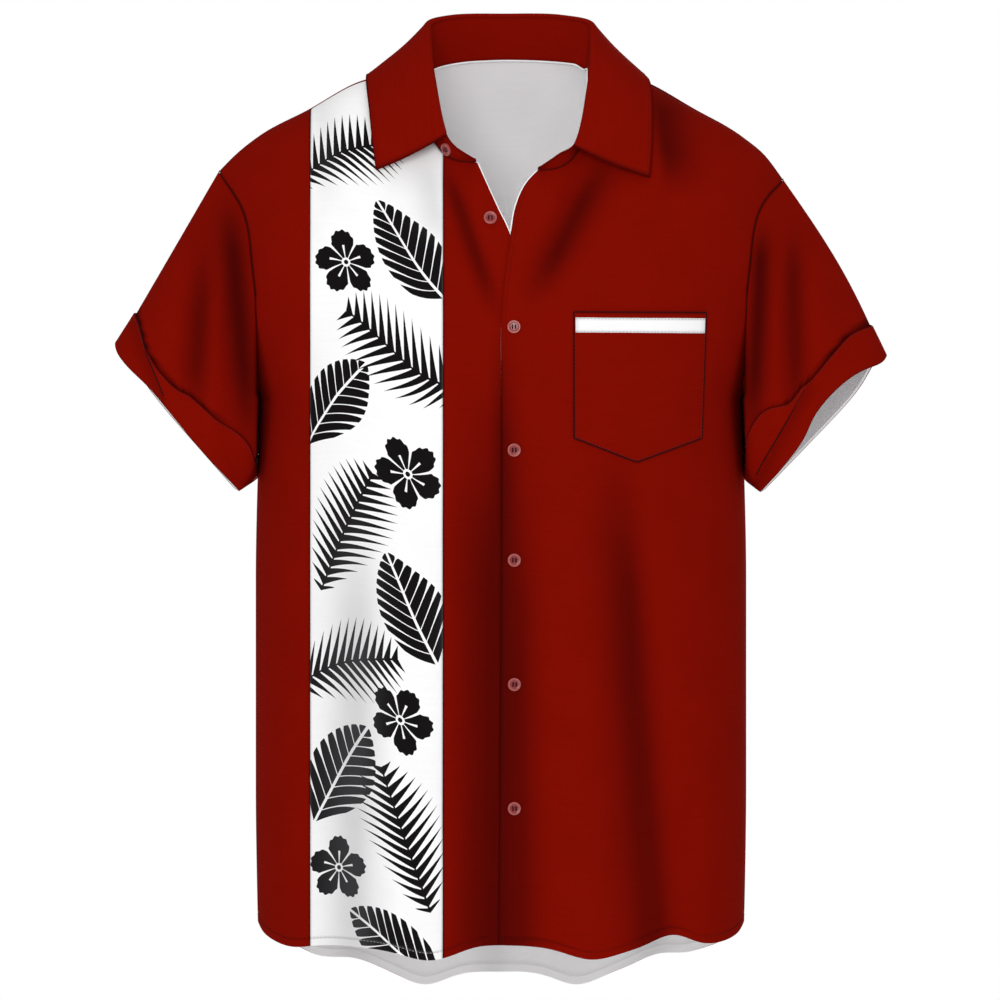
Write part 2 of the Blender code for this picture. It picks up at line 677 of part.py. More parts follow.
def ways(loop):
    """The share of the loop's length at each of its points."""
    run = np.concatenate([[0], np.cumsum(np.linalg.norm(np.diff(loop, axis=0), axis=-1))])
    return run / run[-1]


def stand_top(way):
    return np.stack([read(STAND_TOP, "way", axis, way) for axis in "xyz"], axis=-1)


def add_stand(loop):
    """The collar's stand, on the neck seam."""
    top = stand_top(ways(loop))
    share = np.linspace(0, 1, ROWS_STAND + 1)[:, None, None]
    net = (1 - share) * loop[None] + share * top[None]
    net = eased_back(net, 2 * SEAM_GAP, "foot")
    outwards = -net_facing(net, False)
    thickness = np.full(net.shape[:2], COLLAR_CLOTH)
    add_wall("collar_stand", net, outwards, thickness)
    return net, outwards


def leaf_edge(way):
    """The outer edge of the leaf."""
    return np.stack([read(LEAF_EDGE, "way", axis, way) for axis in "xyz"], axis=-1)


def resting(points, clearance):
    """The points, moved out of the shirt's body where they come nearer than the clearance."""
    turn, level = np.meshgrid(np.linspace(-90, 90, 121), np.linspace(-200, 0, 61))
    surface = [form(side, turn, level).reshape(-1, 3) for side in (FRONT, BACK)]
    outwards = [facing(side, turn, level).reshape(-1, 3) for side in (FRONT, BACK)]
    surface, outwards = np.concatenate(surface), np.concatenate(outwards)
    moved = points.reshape(-1, 3).copy()
    for i, point in enumerate(moved):
        nearest = np.argmin(np.sum((surface - point) ** 2, axis=-1))
        above = np.dot(point - surface[nearest], outwards[nearest])
        if above < clearance:
            moved[i] += outwards[nearest] * (clearance - above)
    return moved.reshape(points.shape)


def add_leaf(loop, stand_facing):
    """The collar's leaf, which turns over above the stand and falls outwards."""
    all_ways = ways(loop)
    worn = all_ways[(all_ways > LEAF_START + 0.01) & (all_ways < LEAF_END - 0.01)]
    way = np.concatenate([[LEAF_START], worn, [LEAF_END]])
    wide = np.diff(way) > LEAF_COLUMN
    way = np.sort(np.concatenate([way, (way[:-1] + way[1:])[wide] / 2]))

    def along(line):
        return np.stack([np.interp(way, all_ways, line[:, k]) for k in range(3)], axis=-1)

    foot, top = along(loop), along(stand_top(all_ways))
    edge = resting(leaf_edge(way), LEAF_REST)
    up = unit(top - foot)
    start = top + up * 4 * SEAM_GAP - along(stand_facing) * COLLAR_CLOTH
    fall = unit(edge - start)
    out = unit(fall - up * np.sum(fall * up, axis=-1, keepdims=True))
    bend = np.arccos(np.clip(np.sum(fall * up, axis=-1), -1, 1))[:, None]
    rows = []
    for step in range(FOLD_STEPS + 1):
        angle = bend * step / FOLD_STEPS
        rows.append(start + LEAF_FOLD * (out * (1 - np.cos(angle)) + up * np.sin(angle)))
    last = rows[-1]
    for step in range(1, FALL_STEPS + 1):
        share = step / FALL_STEPS
        bow = fall_bow(share)
        across = unit(np.cross(np.gradient(edge, axis=0), fall))
        rows.append(last + (edge - last) * share + across * bow)
    net = np.array(rows)
    fallen = np.clip((np.arange(len(net)) - FOLD_STEPS) / FALL_STEPS, 0, 1)[:, None, None]
    for end, towards in ((0, -1), (-1, 1)):
        share = np.clip(1 - np.abs(way - way[end]) / 0.07, 0, 1)[None, :, None] ** 2
        forward = unit(net[:, end] - net[:, end - towards])[:, None]
        net = net + forward * share * np.sin(math.pi * fallen) * LEAF_BULGE
    net[FOLD_STEPS + 2:] = resting(net[FOLD_STEPS + 2:], LEAF_REST)
    seen = net_facing(net, False)
    thickness = np.full(net.shape[:2], COLLAR_CLOTH)
    add_wall("collar_leaf", net, seen, thickness)


def fall_bow(share):
    """How far the falling leaf stands off a straight line."""
    return 4.0 * math.sin(math.pi * share)


# ---------------------------------------------------------------- pocket and buttons

def add_pocket():
    """A patch pocket with a pointed foot, and the white trim along its mouth."""
    def patch(name, left, right, top, foot, lift, thick, colour, steps):
        u = np.linspace(0, 1, 9)[None, :]
        v = np.linspace(0, 1, steps + 1)[:, None]
        z = top + (foot(left(0) + u * (right(0) - left(0))) - top) * (1 - v)
        down = (POCKET_TOP - z) / (POCKET_TOP - POCKET_CORNER)
        x = left(down) + u * (right(down) - left(down))
        turn, level = place(x, z)
        faces_out = facing(FRONT, turn, level)
        points = form(FRONT, turn, level) + faces_out * (lift + thick)
        add_wall(name, points, faces_out, np.full(points.shape[:2], thick), colour)

    def left(down):
        return POCKET_LEFT + 0 * down

    def right(down):
        return POCKET_RIGHT + (POCKET_RIGHT_FOOT - POCKET_RIGHT) * np.minimum(down, 1)

    def pointed(x):
        share = np.where(
            x < POCKET_POINT_X,
            (x - POCKET_LEFT) / (POCKET_POINT_X - POCKET_LEFT),
            (POCKET_RIGHT - x) / (POCKET_RIGHT - POCKET_POINT_X),
        )
        return POCKET_CORNER + (POCKET_POINT - POCKET_CORNER) * share

    patch("pocket", left, right, POCKET_TOP, pointed, POCKET_LIFT, CLOTH, "red", 8)
    patch(
        "pocket_trim",
        lambda down: left(down) + TRIM_INSET, lambda down: right(down) - TRIM_INSET,
        TRIM_TOP, lambda x: TRIM_FOOT + 0 * x, POCKET_LIFT + CLOTH + SEAM_GAP, TRIM_CLOTH, "white", 1,
    )


def button_mesh():
    """A round button, dished in the middle, with four holes."""
    rim = 0.5
    profile = [
        (0, BUTTON_HEIGHT - BUTTON_DISH), (BUTTON_RADIUS * 0.62, BUTTON_HEIGHT - BUTTON_DISH),
        (BUTTON_RADIUS * 0.70, BUTTON_HEIGHT), (BUTTON_RADIUS - rim, BUTTON_HEIGHT),
        (BUTTON_RADIUS, BUTTON_HEIGHT / 2), (BUTTON_RADIUS - rim, 0), (0, 0),
    ]
    mesh = bpy.data.meshes.new("button_profile")
    points = [(r * MM, 0, z * MM) for r, z in profile]
    mesh.from_pydata(points, [(i, i + 1) for i in range(len(points) - 1)], [])
    blank = bpy.data.objects.new("button_blank", mesh)
    cutters.objects.link(blank)
    screw = blank.modifiers.new("turned", "SCREW")
    screw.steps = screw.render_steps = BUTTON_SIDES
    screw.use_merge_vertices = True
    screw.merge_threshold = 0.00001
    for x in (-HOLE_SPREAD, HOLE_SPREAD):
        for y in (-HOLE_SPREAD, HOLE_SPREAD):
            cutter = bpy.data.objects.new("button_hole", hole_mesh())
            cutter.location = (x * MM, y * MM, 0)
            cutters.objects.link(cutter)
            cut = blank.modifiers.new("hole", "BOOLEAN")
            cut.operation = "DIFFERENCE"
            cut.object = cutter
    bpy.context.view_layer.update()
    graph = bpy.context.evaluated_depsgraph_get()
    made = bpy.data.meshes.new_from_object(blank.evaluated_get(graph))
    made.name = "button"
    made.materials.clear()
    made.materials.append(material("button", 0.3))
    made.set_sharp_from_angle(angle=math.radians(35))
    return made


def hole_mesh():
    mesh = bpy.data.meshes.new("button_hole")
    shell = bmesh.new()
    bmesh.ops.create_cone(
        shell, cap_ends=True, segments=HOLE_SIDES, radius1=HOLE_RADIUS * MM,
        radius2=HOLE_RADIUS * MM, depth=4 * BUTTON_HEIGHT * MM,
    )
    shell.to_mesh(mesh)
    shell.free()
    return mesh


def add_button(name, mesh, point, faces_out):
    """A button with its foot a little clear of the cloth at this point."""
    button = bpy.data.objects.new(name, mesh)
    button.location = [c * MM for c in point + faces_out * BUTTON_LIFT]
    x, y, z = faces_out
    button.rotation_euler = (math.acos(z), 0, math.atan2(x, -y))
    shirt.objects.link(button)


def add_buttons(stand, stand_facing):
    mesh = button_mesh()
    for number, height in enumerate(UPPER_BUTTONS, start=2):
        turn, level = place(np.array(BUTTON_LINE), np.array(height))
        add_button(f"button_{number}", mesh, form(FRONT, turn, level), facing(FRONT, turn, level))
    turn, level = place(*[np.array(c) for c in UNDER_BUTTON])
    point, faces_out = form(FRONT, turn, level), facing(FRONT, turn, level)
    add_button("button_1", mesh, point - faces_out * sunk_at(point[0]), faces_out)
    way, up = STAND_BUTTON
    all_ways = ways(stand[0])

    def at(net):
        low, high = [
            np.array([np.interp(way, all_ways, net[row, :, k]) for k in range(3)]) for row in (0, -1)
        ]
        return low + (high - low) * up

    add_button("button_collar", mesh, at(stand), unit(at(stand_facing)))


# ---------------------------------------------------------------- putting it together

def material(colour, roughness):
    name = f"{colour}_finish"
    found = bpy.data.materials.get(name)
    if found:
        return found
    made = bpy.data.materials.new(name)
    made.use_nodes = True
    shader = made.node_tree.nodes["Principled BSDF"]
    shader.inputs["Base Color"].default_value = COLOURS[colour]
    shader.inputs["Roughness"].default_value = roughness
    shader.inputs["Metallic"].default_value = 0.0
    return made


def sunk_at(x):
    """How far the under front edge lies below the form, so that the upper one clears it."""
    return (CLOTH + 2 * LAYER_GAP) * ease(x, -24.0, -7.0)


def main():
    nets, back = front_nets(), back_net()
    arm = np.s_[ROWS_BODY:]
    edges = {}
    for name, spec in SLEEVES.items():
        front_net, column = (nets["side"], 0) if name == "right" else (nets["upper"], -1)
        back_column = 0 if name == "right" else -1
        front_edge_at, back_edge_at = front_net[arm, column], back[arm, back_column]
        front_points = form(FRONT, front_edge_at[:, 0], front_edge_at[:, 1])
        back_points = form(BACK, back_edge_at[:, 0], back_edge_at[:, 1])
        loop = np.concatenate([front_points, back_points[::-1][1:-1]])
        front_facing = facing(FRONT, front_edge_at[:, 0], front_edge_at[:, 1])
        back_facing = facing(BACK, back_edge_at[:, 0], back_edge_at[:, 1])
        loop_facing = np.concatenate([front_facing, back_facing[::-1][1:-1]])
        sleeve_facing = net_facing(sleeve_net(spec, loop, ROWS_SLEEVE), True)[0] * -spec["sign"]
        shared = shared_facing(loop_facing, sleeve_facing)
        steps = ROWS_ARMHOLE
        edges[name] = {
            "front": shared[: steps + 1],
            "back": np.concatenate([shared[:1], shared[steps:][::-1]]),
        }
        add_sleeve(name, spec, loop, loop_facing)

    add_panel("front_right_side", FRONT, nets["side"], edges=[(0, edges["right"]["front"])])
    add_panel("front_right_insert", FRONT, nets["insert"], "white")
    add_panel("front_right_centre", FRONT, nets["centre"], sunk=sunk_at)
    add_panel("front_left", FRONT, nets["upper"], edges=[(-1, edges["left"]["front"])])
    add_panel(
        "back", BACK, back,
        edges=[(0, edges["right"]["back"]), (-1, edges["left"]["back"])],
    )
    loop = neck_loop(nets, back)
    stand, stand_facing = add_stand(loop)
    add_leaf(loop, stand_facing[-1])
    add_pocket()
    add_buttons(stand, stand_facing)


for old in list(bpy.data.objects):
    bpy.data.objects.remove(old)
shirt = bpy.data.collections.new("hawaiian_shirt")
cutters = bpy.data.collections.new("cutters")
bpy.context.scene.collection.children.link(shirt)
bpy.context.scene.collection.children.link(cutters)
main()
for cutter in cutters.objects:
    cutter.hide_render = True
    cutter.display_type = "WIRE"
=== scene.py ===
"""The looks of a short-sleeved hawaiian shirt in its worn shape, hollow, with nobody in it.

Lengths are in millimetres until a mesh is made. X runs across the shirt, towards the wearer's
left, Y runs to the back and Z runs up. The tables and formulas of the worn form are the part's
own. Each piece of cloth is a thin shell on its solid's form, worked out more finely, with the
smaller creases, the turned edges, the hems and the sewing added. A place on the form is a side
(front or back), an angle `turn` round the body, from -90 at one side seam to 90 at the other,
and a `level`: the height up to the underarm, and from there a measure that runs to 0 on top of
the shoulder.
"""

import math

import bmesh
import bpy
import numpy as np
from mathutils import Matrix, Vector


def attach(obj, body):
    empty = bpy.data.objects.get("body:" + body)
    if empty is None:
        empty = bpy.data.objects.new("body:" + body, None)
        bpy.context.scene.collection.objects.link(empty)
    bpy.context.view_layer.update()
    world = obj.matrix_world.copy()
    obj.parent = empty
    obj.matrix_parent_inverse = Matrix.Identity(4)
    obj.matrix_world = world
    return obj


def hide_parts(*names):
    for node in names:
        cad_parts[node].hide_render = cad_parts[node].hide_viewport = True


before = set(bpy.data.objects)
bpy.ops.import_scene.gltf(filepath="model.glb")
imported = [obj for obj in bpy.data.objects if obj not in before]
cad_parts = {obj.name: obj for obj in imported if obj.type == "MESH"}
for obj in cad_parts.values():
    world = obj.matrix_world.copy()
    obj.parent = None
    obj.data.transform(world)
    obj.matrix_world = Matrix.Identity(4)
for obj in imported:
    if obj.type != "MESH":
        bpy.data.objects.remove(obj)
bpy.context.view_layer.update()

MM = 0.001

# ---------------------------------------------------------------- camera, light and floor

VIEW_WIDTH = 850.0          # what the photograph spans at the shirt
VIEW_MIDDLE = (-0.85, -361.2)   # X and Z in the middle of the photograph
CAMERA_AWAY = 20000.0       # so far off that near and far edges keep their places
SENSOR = 36.0
FLOOR_LEVEL = -1450.0       # where the wearer would stand
FLOOR_SIZE = 60000.0
AMBIENT, SEEN_WHITE = 0.50, 1.0   # the studio's even light, and how bright its backdrop looks
LIGHTS = [
    # name, place, aim, size, power
    ("key", (-500, -3600, 500), (0, 0, -300), 1700, 50.0),
    ("fill", (2600, -1900, 0), (0, 0, -400), 2200, 10.0),
    ("rim", (-2600, -1900, 0), (0, 0, -400), 2200, 8.0),
    ("top", (200, -300, 2300), (0, 0, -100), 1600, 9.0),
    ("back", (700, 3500, 600), (0, 0, -350), 2000, 36.0),
]


def set_stage():
    scene = bpy.context.scene
    scene.view_settings.view_transform = "Standard"
    lens = SENSOR * CAMERA_AWAY / VIEW_WIDTH
    camera = bpy.data.objects.new("camera", bpy.data.cameras.new("camera"))
    camera.data.sensor_width = SENSOR
    camera.data.lens = lens
    camera.data.clip_end = 200.0
    camera.location = (VIEW_MIDDLE[0] * MM, -CAMERA_AWAY * MM, VIEW_MIDDLE[1] * MM)
    camera.rotation_euler = (math.pi / 2, 0, 0)
    scene.collection.objects.link(camera)
    scene.camera = camera

    world = bpy.data.worlds.new("studio")
    scene.world = world
    world.use_nodes = True
    tree = world.node_tree
    tree.nodes.clear()
    white = (1, 1, 1, 1)
    ambient = node(tree, "Background", {"Color": white, "Strength": AMBIENT})
    seen = node(tree, "Background", {"Color": white, "Strength": SEEN_WHITE})
    path = node(tree, "LightPath")
    mixed = node(tree, "MixShader", {
        0: path.outputs["Is Camera Ray"], 1: ambient.outputs[0], 2: seen.outputs[0],
    })
    node(tree, "OutputWorld", {0: mixed.outputs[0]})

    for name, place_at, aim, size, power in LIGHTS:
        light = bpy.data.objects.new(name, bpy.data.lights.new(name, "AREA"))
        light.data.shape = "DISK"
        light.data.size = size * MM
        light.data.energy = power
        light.location = Vector(place_at) * MM
        towards = (Vector(aim) - Vector(place_at)).normalized()
        light.rotation_euler = towards.to_track_quat("-Z", "Y").to_euler()
        scene.collection.objects.link(light)

    bpy.ops.mesh.primitive_plane_add(size=FLOOR_SIZE * MM, location=(0, 0, FLOOR_LEVEL * MM))
    floor = bpy.context.object
    floor.name = "floor"
    floor.data.materials.append(pale_floor())


# ---------------------------------------------------------------- sizes

CLOTH = 0.9                 # drawn three times as thick as the real cloth
COLLAR_CLOTH = 1.4
CUFF_CLOTH = 1.1
TRIM_CLOTH = 0.6
CAD_CLOTH, CAD_COLLAR = 1.2, 1.6    # how thick the part's own walls are
THINNEST = 0.05             # what is left of the cloth in its sharpest folds
SEAM_GAP = 0.08             # between two panels at their seam
LAYER_GAP = 0.35            # between two layers that lie on each other

# The worn form
FRONT, BACK = -1, 1
ARM_DEPTH = 275.0           # from the top of the shoulder down to the underarm
SHOULDER_SEAM_FORWARD = 12.0
FRONT_DEPTH, BACK_DEPTH = 130.0, 116.0      # at the underarm
FRONT_SQUARENESS, BACK_SQUARENESS = 0.20, 0.26

# Neck and front edges, as seen from the front
NECK_MIDDLE, NECK_HALF_WIDTH = 5.0, 70.0
NAPE_ENDS = (0.0, 5.0)      # how high the nape's seam would meet the shoulder seams
NAPE_LEVEL, NAPE_TOP = -72.0, 13.6
NECK_ROUNDNESS = 3.0
UNDER_NECK_END = (-21.0, -75.0)
UPPER_NECK_END = (31.0, -82.0)
BUTTON_LINE = 11.0
OPENING_FOOT = -139.0       # where the fronts part
UNDERLAP = (-24.0, -7.0)    # across: where the under front sinks in below the upper one
EDGE_FOOT, INSERT_FOOT = -731.0, -735.0     # the hem's height at the front edges and the panel

# The white panel let into the front, and the pocket
INSERT_SEAMS = (-162.0, -49.0)
POCKET_LEFT, POCKET_RIGHT, POCKET_RIGHT_FOOT = 61.5, 173.5, 169.5
POCKET_TOP, POCKET_CORNER, POCKET_POINT = -202.5, -309.0, -329.5
POCKET_POINT_X, POCKET_LIFT = 116.5, 0.5
POCKET_RUN = 110.0          # the usual width of the pocket
TRIM_TOP, TRIM_FOOT, TRIM_INSET = -207.5, -220.0, 1.6

# How finely the cloth is divided
ROWS_BODY, ROWS_CHEST, ROWS_NECK = 118, 46, 34
ROWS_ARMHOLE = ROWS_CHEST + ROWS_NECK
ROWS_CLOSED = ROWS_BODY + 12            # up to here the fronts lap over each other
ROWS_SLEEVE, ROWS_CUFF, ROWS_STAND, CURL_STEPS = 42, 16, 12, 8
COLUMNS_COLLAR = 150
SPACING = 4.0
BODY_RUN = 460.0            # the usual length from the hem to the underarm
SLEEVE_RUN, CUFF_RUN = 125.0, 25.0      # the usual lengths of a sleeve and its cuff
HEM_STEPS = (0, 0.5, 1.3, 3.5, 5.8, 6.6, 7.4, 8.4)
END_STEPS = (4.0, 2.0, 1.0, 0.4, 0.0)

# Sewing
SEAM_DEPTH, SEAM_WIDTH = 1.0, 0.9
HEM_WIDTH, HEM_FOLD, HEM_GROOVE = 7.0, 0.45, 0.25
EDGE_LINE = 1.3             # how wide the painted shade line beside a sewn edge is drawn
SEAM_TONE, EDGE_TONE = 0.8, 0.75        # how deep the painted shade is beside a seam, and on a free edge
STITCH_PITCH, STITCH_LENGTH, STITCH_WIDTH, STITCH_PROUD = 3.0, 2.4, 0.45, 0.05
# How far in from the edge of its piece each row of stitches runs
STITCHED_IN = {
    "hem": HEM_WIDTH - 0.8, "front edge": 4.0, "pocket": 1.6, "trim": 0.9, "leaf": 3.5,
    "stand": 1.6, "cuff": 1.8,
}
# Radii of the cords drawn for seams, creases and rolled edges; the dark cords are painted shadow lines
# along seams, creases and the pocket's outline
CORDS = {
    "body seam": 0.30, "neck seam": 0.28, "neck binding": 0.85, "facing": 0.75,
    "cuff crease": 0.55, "pocket outline": 0.5,
}

# Sleeves and cuffs
CORNER_ROUNDING = 4.0       # how far the cuff draws back where it folds round the outside
TUCK = 12.0                 # how far its lower edge rises where it lies against the body
INSIDE_TURN = (0.8, 0.4)    # cosine of the angle where a sleeve turns in to the body: front, back
BODY_SIDE = 206.5           # where the body's side lies, for the cloth that hangs against it
ARMHOLE_SIDE = 209.0        # how far out its seam can hold it, behind
SLEEVE_BELLY = 7.0          # how far a sleeve swells to the front and back
SLEEVE_END_GAP = 0.15       # between the sleeve's own hem and the cuff that turns up from it
CUFF_OUT = (1.9, 3.1)       # how far the cuff stands off the sleeve, at its top and foot


def table(columns, *rows):
    """Rows of numbers as dictionaries with the named columns."""
    return [dict(zip(columns.split(), row)) for row in rows]


# Rings of the body below the armholes.
BODY = table(
    "height half_width front back",
    (-800, 205.0, 117, 110),
    (-600, 208.5, 121, 106),
    (-430, 208.5, 127, 109),
    (-275, 205.0, 130, 116),
)

# Half width of the form from the underarm (0) to the top of the shoulder (1).
CHEST = table(
    "rise half_width",
    (0.0, 205), (0.1, 216), (0.2, 226), (0.35, 233), (0.55, 237), (0.75, 239), (1.0, 240),
)

# The top of the shoulders, for the wearer's right (seen on the left) and left.
SHOULDER = table(
    "out right left",
    (0, 43, 43), (14, 43, 43), (40, 27, 31), (70, 3, 8), (92, 0, 2), (116, -4, -3),
    (165, -30, -29), (206, -52, -53), (225, -67, -69), (240, -82, -89),
)

# How far round the armhole's edge lies from the side, by height from the underarm (0) to the
# top of the shoulder (1).
ARMHOLE = table(
    "rise inwards",
    (0.0, 0.0), (0.015, 6.5), (0.07, 13.6), (0.17, 21.5), (0.28, 24.8), (0.39, 24.8),
    (0.53, 22.4), (0.65, 16.8), (0.76, 11.0), (0.88, 5.2), (1.0, 0.0),
)

# How round the form is between chest and shoulder: 2 is an ellipse, less is flatter.
ROUNDNESS = table(
    "out front back",
    (0, 1.35, 1.80), (70, 1.50, 1.85), (160, 2.00, 2.10), (240, 2.00, 2.10),
)

# The cut edge of the hem, by angle from the middle, on each side.
HEM = table(
    "turn front back",
    (0, -737.5, -764), (30, -740, -762), (48, -739, -752), (58, -738, -741), (66, -735, -735),
    (77, -728, -727.5), (85, -720.5, -720), (90, -718, -718),
)

# The two front edges above the buttoned part.
UPPER_EDGE = table(
    "height across",
    (-800, -3), (-300, 0), (-208, 0), (-165, 4), (-138, 8), (-112, 13), (-95, 21), (-82, 31),
)
UNDER_EDGE = table(
    "height across",
    (-800, 20), (-300, 22), (-230, 21), (-175, 17), (-138, 8), (-106, -6), (-86, -16), (-75, -21),
)

# Folds of the front, as seen from the front: a line from its top to its foot, half its width,
# how far the cloth stands out (or falls back, below 0) and how far it carries the hem.
FRONT_FOLDS = table(
    "top_x top_z foot_x foot_z width out hem",
    (-136, -400, -140, -800, 20, -7.0, 1.5),    # trough down the white panel
    (-74, -430, -60, -800, 31, 5.0, -11.0),     # swell beside it
    (-22, -250, -20, -800, 17, -7.0, 1.0),      # trough beside the buttoned edge
    (-46, -70, -4, -205, 9, -4.5, 0.0),         # drag line from the collar to the edge
    (82, -62, 24, -190, 15, -6.5, 0.0),         # drag line from the collar to the edge
    (56, -40, 30, -150, 14, 3.0, 0.0),          # swell inside it
    (24, -240, 25, -800, 14, -4.5, 0.0),        # trough beside the buttons
    (74, -420, 77, -800, 29, 5.0, -10.0),       # swell
    (106, -330, 145, -800, 21, -8.5, 10.0),     # long trough from the pocket's point
    (186, -480, 182, -800, 20, 3.5, 0.0),       # swell towards the side
    (150, -60, 128, -160, 14, -3.5, 0.0),       # hollow under the collar's leaf
    (-186, -330, -180, -800, 16, 2.5, -2.0),    # swell towards the side
)

# Folds of the back, in the same columns.
BACK_FOLDS = table(
    "top_x top_z foot_x foot_z width out hem",
    (-150, -250, -126, -800, 24, -7.0, 7.0),
    (-80, -330, -65, -800, 24, 6.0, -11.0),
    (-18, -300, -4, -800, 22, -6.5, 0.0),
    (52, -360, 65, -800, 25, 6.0, -11.0),
    (118, -280, 134, -800, 24, -7.0, 9.0),
    (180, -400, 180, -800, 16, 3.0, -2.0),
)

# Sleeves, as seen from the front: the two ends of the hem line, how far the hem reaches to the
# front and back of its middle and how far its back hangs below the line. `back_lift` says how
# far the back rises again, at what angle round the arm and over what width, and `swell` how far
# the sleeve's outer side swells.
SLEEVES = {
    "right": {
        "sign": -1, "outer": (-328, -234), "inner": (-223, -353), "middle_y": -14,
        "front": 40, "back": 42, "back_drop": 1.6, "back_lift": (4.5, 212, 30), "swell": 0.0,
        # How far the front of the hem hangs below its line, from the inside (-1) to the outside.
        "front_drop": table("along drop", (-1, 0), (-0.4, 1), (0, 0), (0.4, -1), (0.8, 1), (1, 0)),
        # Width of the turned-up cuff, by angle from the inside (0) over the front (90).
        "cuff": table("angle width", (0, 15), (22, 19), (42, 27), (50, 30), (70, 31.5), (86, 26.5),
                      (97, 20), (113, 17.5), (130, 22), (145, 30), (180, 36), (270, 28), (340, 18),
                      (360, 15)),
        # A crease over the cuff, as seen from the front, and on which side of it the painted shade on the
        # cuff is deeper.
        "cuff_crease": table("x z", (-309, -206), (-301, -237), (-286, -273)),
        "crease_side": 1,
        "folds": table(
            "top_x top_z foot_x foot_z width out",
            (-224, -140, -224, -330, 11, -5.0), (-241, -120, -243, -330, 12, 2.5),
            (-260, -130, -263, -300, 14, -6.0), (-285, -150, -290, -280, 14, 2.0),
        ),
        "creases": table(
            "top_x top_z foot_x foot_z width out",
            (-233, -150, -237, -340, 6, -1.6), (-272, -150, -277, -290, 7, 1.2),
            (-300, -170, -308, -270, 8, -1.4),
        ),
        "hollows": table(
            "top_x top_z foot_x foot_z left right deep fades_in",
            (-232, -95, -210, -340, 13, 12, 0.74, 0.25), (-251, -118, -262, -310, 12, 10, 0.50, 0.5),
        ),
    },
    "left": {
        "sign": 1, "outer": (327, -244), "inner": (221, -354), "middle_y": -14,
        "front": 44, "back": 42, "back_drop": 1.2, "back_lift": (7.0, 205, 26), "swell": 7.0,
        "front_drop": table("along drop", (-1, 0), (-0.6, -1.5), (-0.25, -5.5), (0, -12), (0.3, -14.5),
                            (0.75, -9), (0.94, -2), (1, 0)),
        "cuff": table("angle width", (0, 34), (30, 38), (45, 39), (56, 42), (65, 43.5), (71, 41),
                      (77, 36), (85, 30.5), (100, 24), (119, 26.5), (143, 34), (180, 35),
                      (270, 34), (360, 34)),
        "cuff_crease": table("x z", (257, -268), (246, -288), (231, -314), (221, -331), (214, -345)),
        "crease_side": -1,
        "folds": table(
            "top_x top_z foot_x foot_z width out",
            (221, -140, 222, -330, 11, -3.5), (246, -150, 244, -330, 13, -6.5),
            (270, -150, 274, -300, 14, 3.0), (292, -160, 300, -280, 13, -2.0),
        ),
        "creases": table(
            "top_x top_z foot_x foot_z width out",
            (233, -150, 234, -340, 6, 1.3), (258, -150, 261, -310, 6, -1.3),
            (283, -160, 288, -290, 7, 1.2), (308, -180, 314, -270, 8, -1.2),
        ),
        "hollows": table(
            "top_x top_z foot_x foot_z left right deep fades_in",
            (222, -120, 211, -330, 8, 10, 0.72, 0.2), (247, -120, 250, -310, 9, 10, 0.52, 0.3),
        ),
    },
}

# How closely a sleeve keeps to the body's side on the inside of the arm, by the share of the
# way down, and how far it stands off there, above its cuff.
INSIDE_ARM = table(
    "way keeps off",
    (0.0, 0.0, 0.3), (0.06, 0.8, 0.3), (0.14, 1.0, 0.4), (0.4, 1.0, 0.9), (1.0, 1.0, 1.1),
)
SLEEVE_OFF = 3.5            # how far it stands off under its cuff

# The collar, from the wearer's right end over the nape to the left end. `way` is the share
# of the neck seam. The top of the stand is given as seen from the front, with its depth.
STAND_TOP = table(
    "way x y z",
    (0.00, -22, -90, -74), (0.06, -39, -84, -62.5), (0.12, -47.5, -74, -50), (0.22, -57.5, -42, -2),
    (0.34, -61, 6, 40), (0.42, -40, 36, 49), (0.50, 5, 47, 50), (0.58, 50, 37, 49),
    (0.66, 77, 6, 40), (0.78, 75, -42, -6), (0.88, 63, -76, -60), (0.94, 49, -84, -69),
    (1.00, 33, -90, -80.5),
)
# The outer edge of the collar's leaf, over the same shares, where the leaf is worn folded.
LEAF_START, LEAF_END = 0.12, 0.88
LEAF_EDGE = table(
    "way x y z",
    (0.12, -106, -66, -88), (0.17, -110, -52, -58), (0.22, -113, -34, -26), (0.27, -115, -2, 2),
    (0.33, -101, 36, 0), (0.41, -62, 72, -4), (0.50, 5, 86, -6), (0.59, 72, 72, -4),
    (0.67, 111, 36, 0), (0.73, 125, -2, 1), (0.78, 126, -34, -28), (0.83, 125, -54, -63),
    (0.88, 123, -70, -93),
)
LEAF_BULGE = 4.0            # how far its ends curve forwards half way down
LEAF_BOW = 4.0              # how far it stands off a straight line as it falls
LEAF_FOLD = 3.4             # radius of the fold at its top
LEAF_REST = 4.8             # how far it rests above the body
FOLD_STEPS, FALL_STEPS = 8, 24

# Buttons
BUTTON_RADIUS, BUTTON_HEIGHT, BUTTON_DISH, BUTTON_LIFT = 5.6, 2.3, 0.6, 0.8
BUTTON_RIM, BUTTON_SLOPE = 1.3, 0.7     # widths of its flat rim and of the slope inside it
BUTTON_ROUNDING = 0.45
HOLE_RADIUS, HOLE_SPREAD = 0.65, 1.35
BUTTON_THREAD = 0.5
UPPER_BUTTONS = (-215.0, -319.0, -412.0, -517.0, -622.0)    # heights
UNDER_BUTTON = (-9.0, -122.0)       # across, height
STAND_BUTTON = (0.070, 0.42)        # shares of the way along the stand and up it

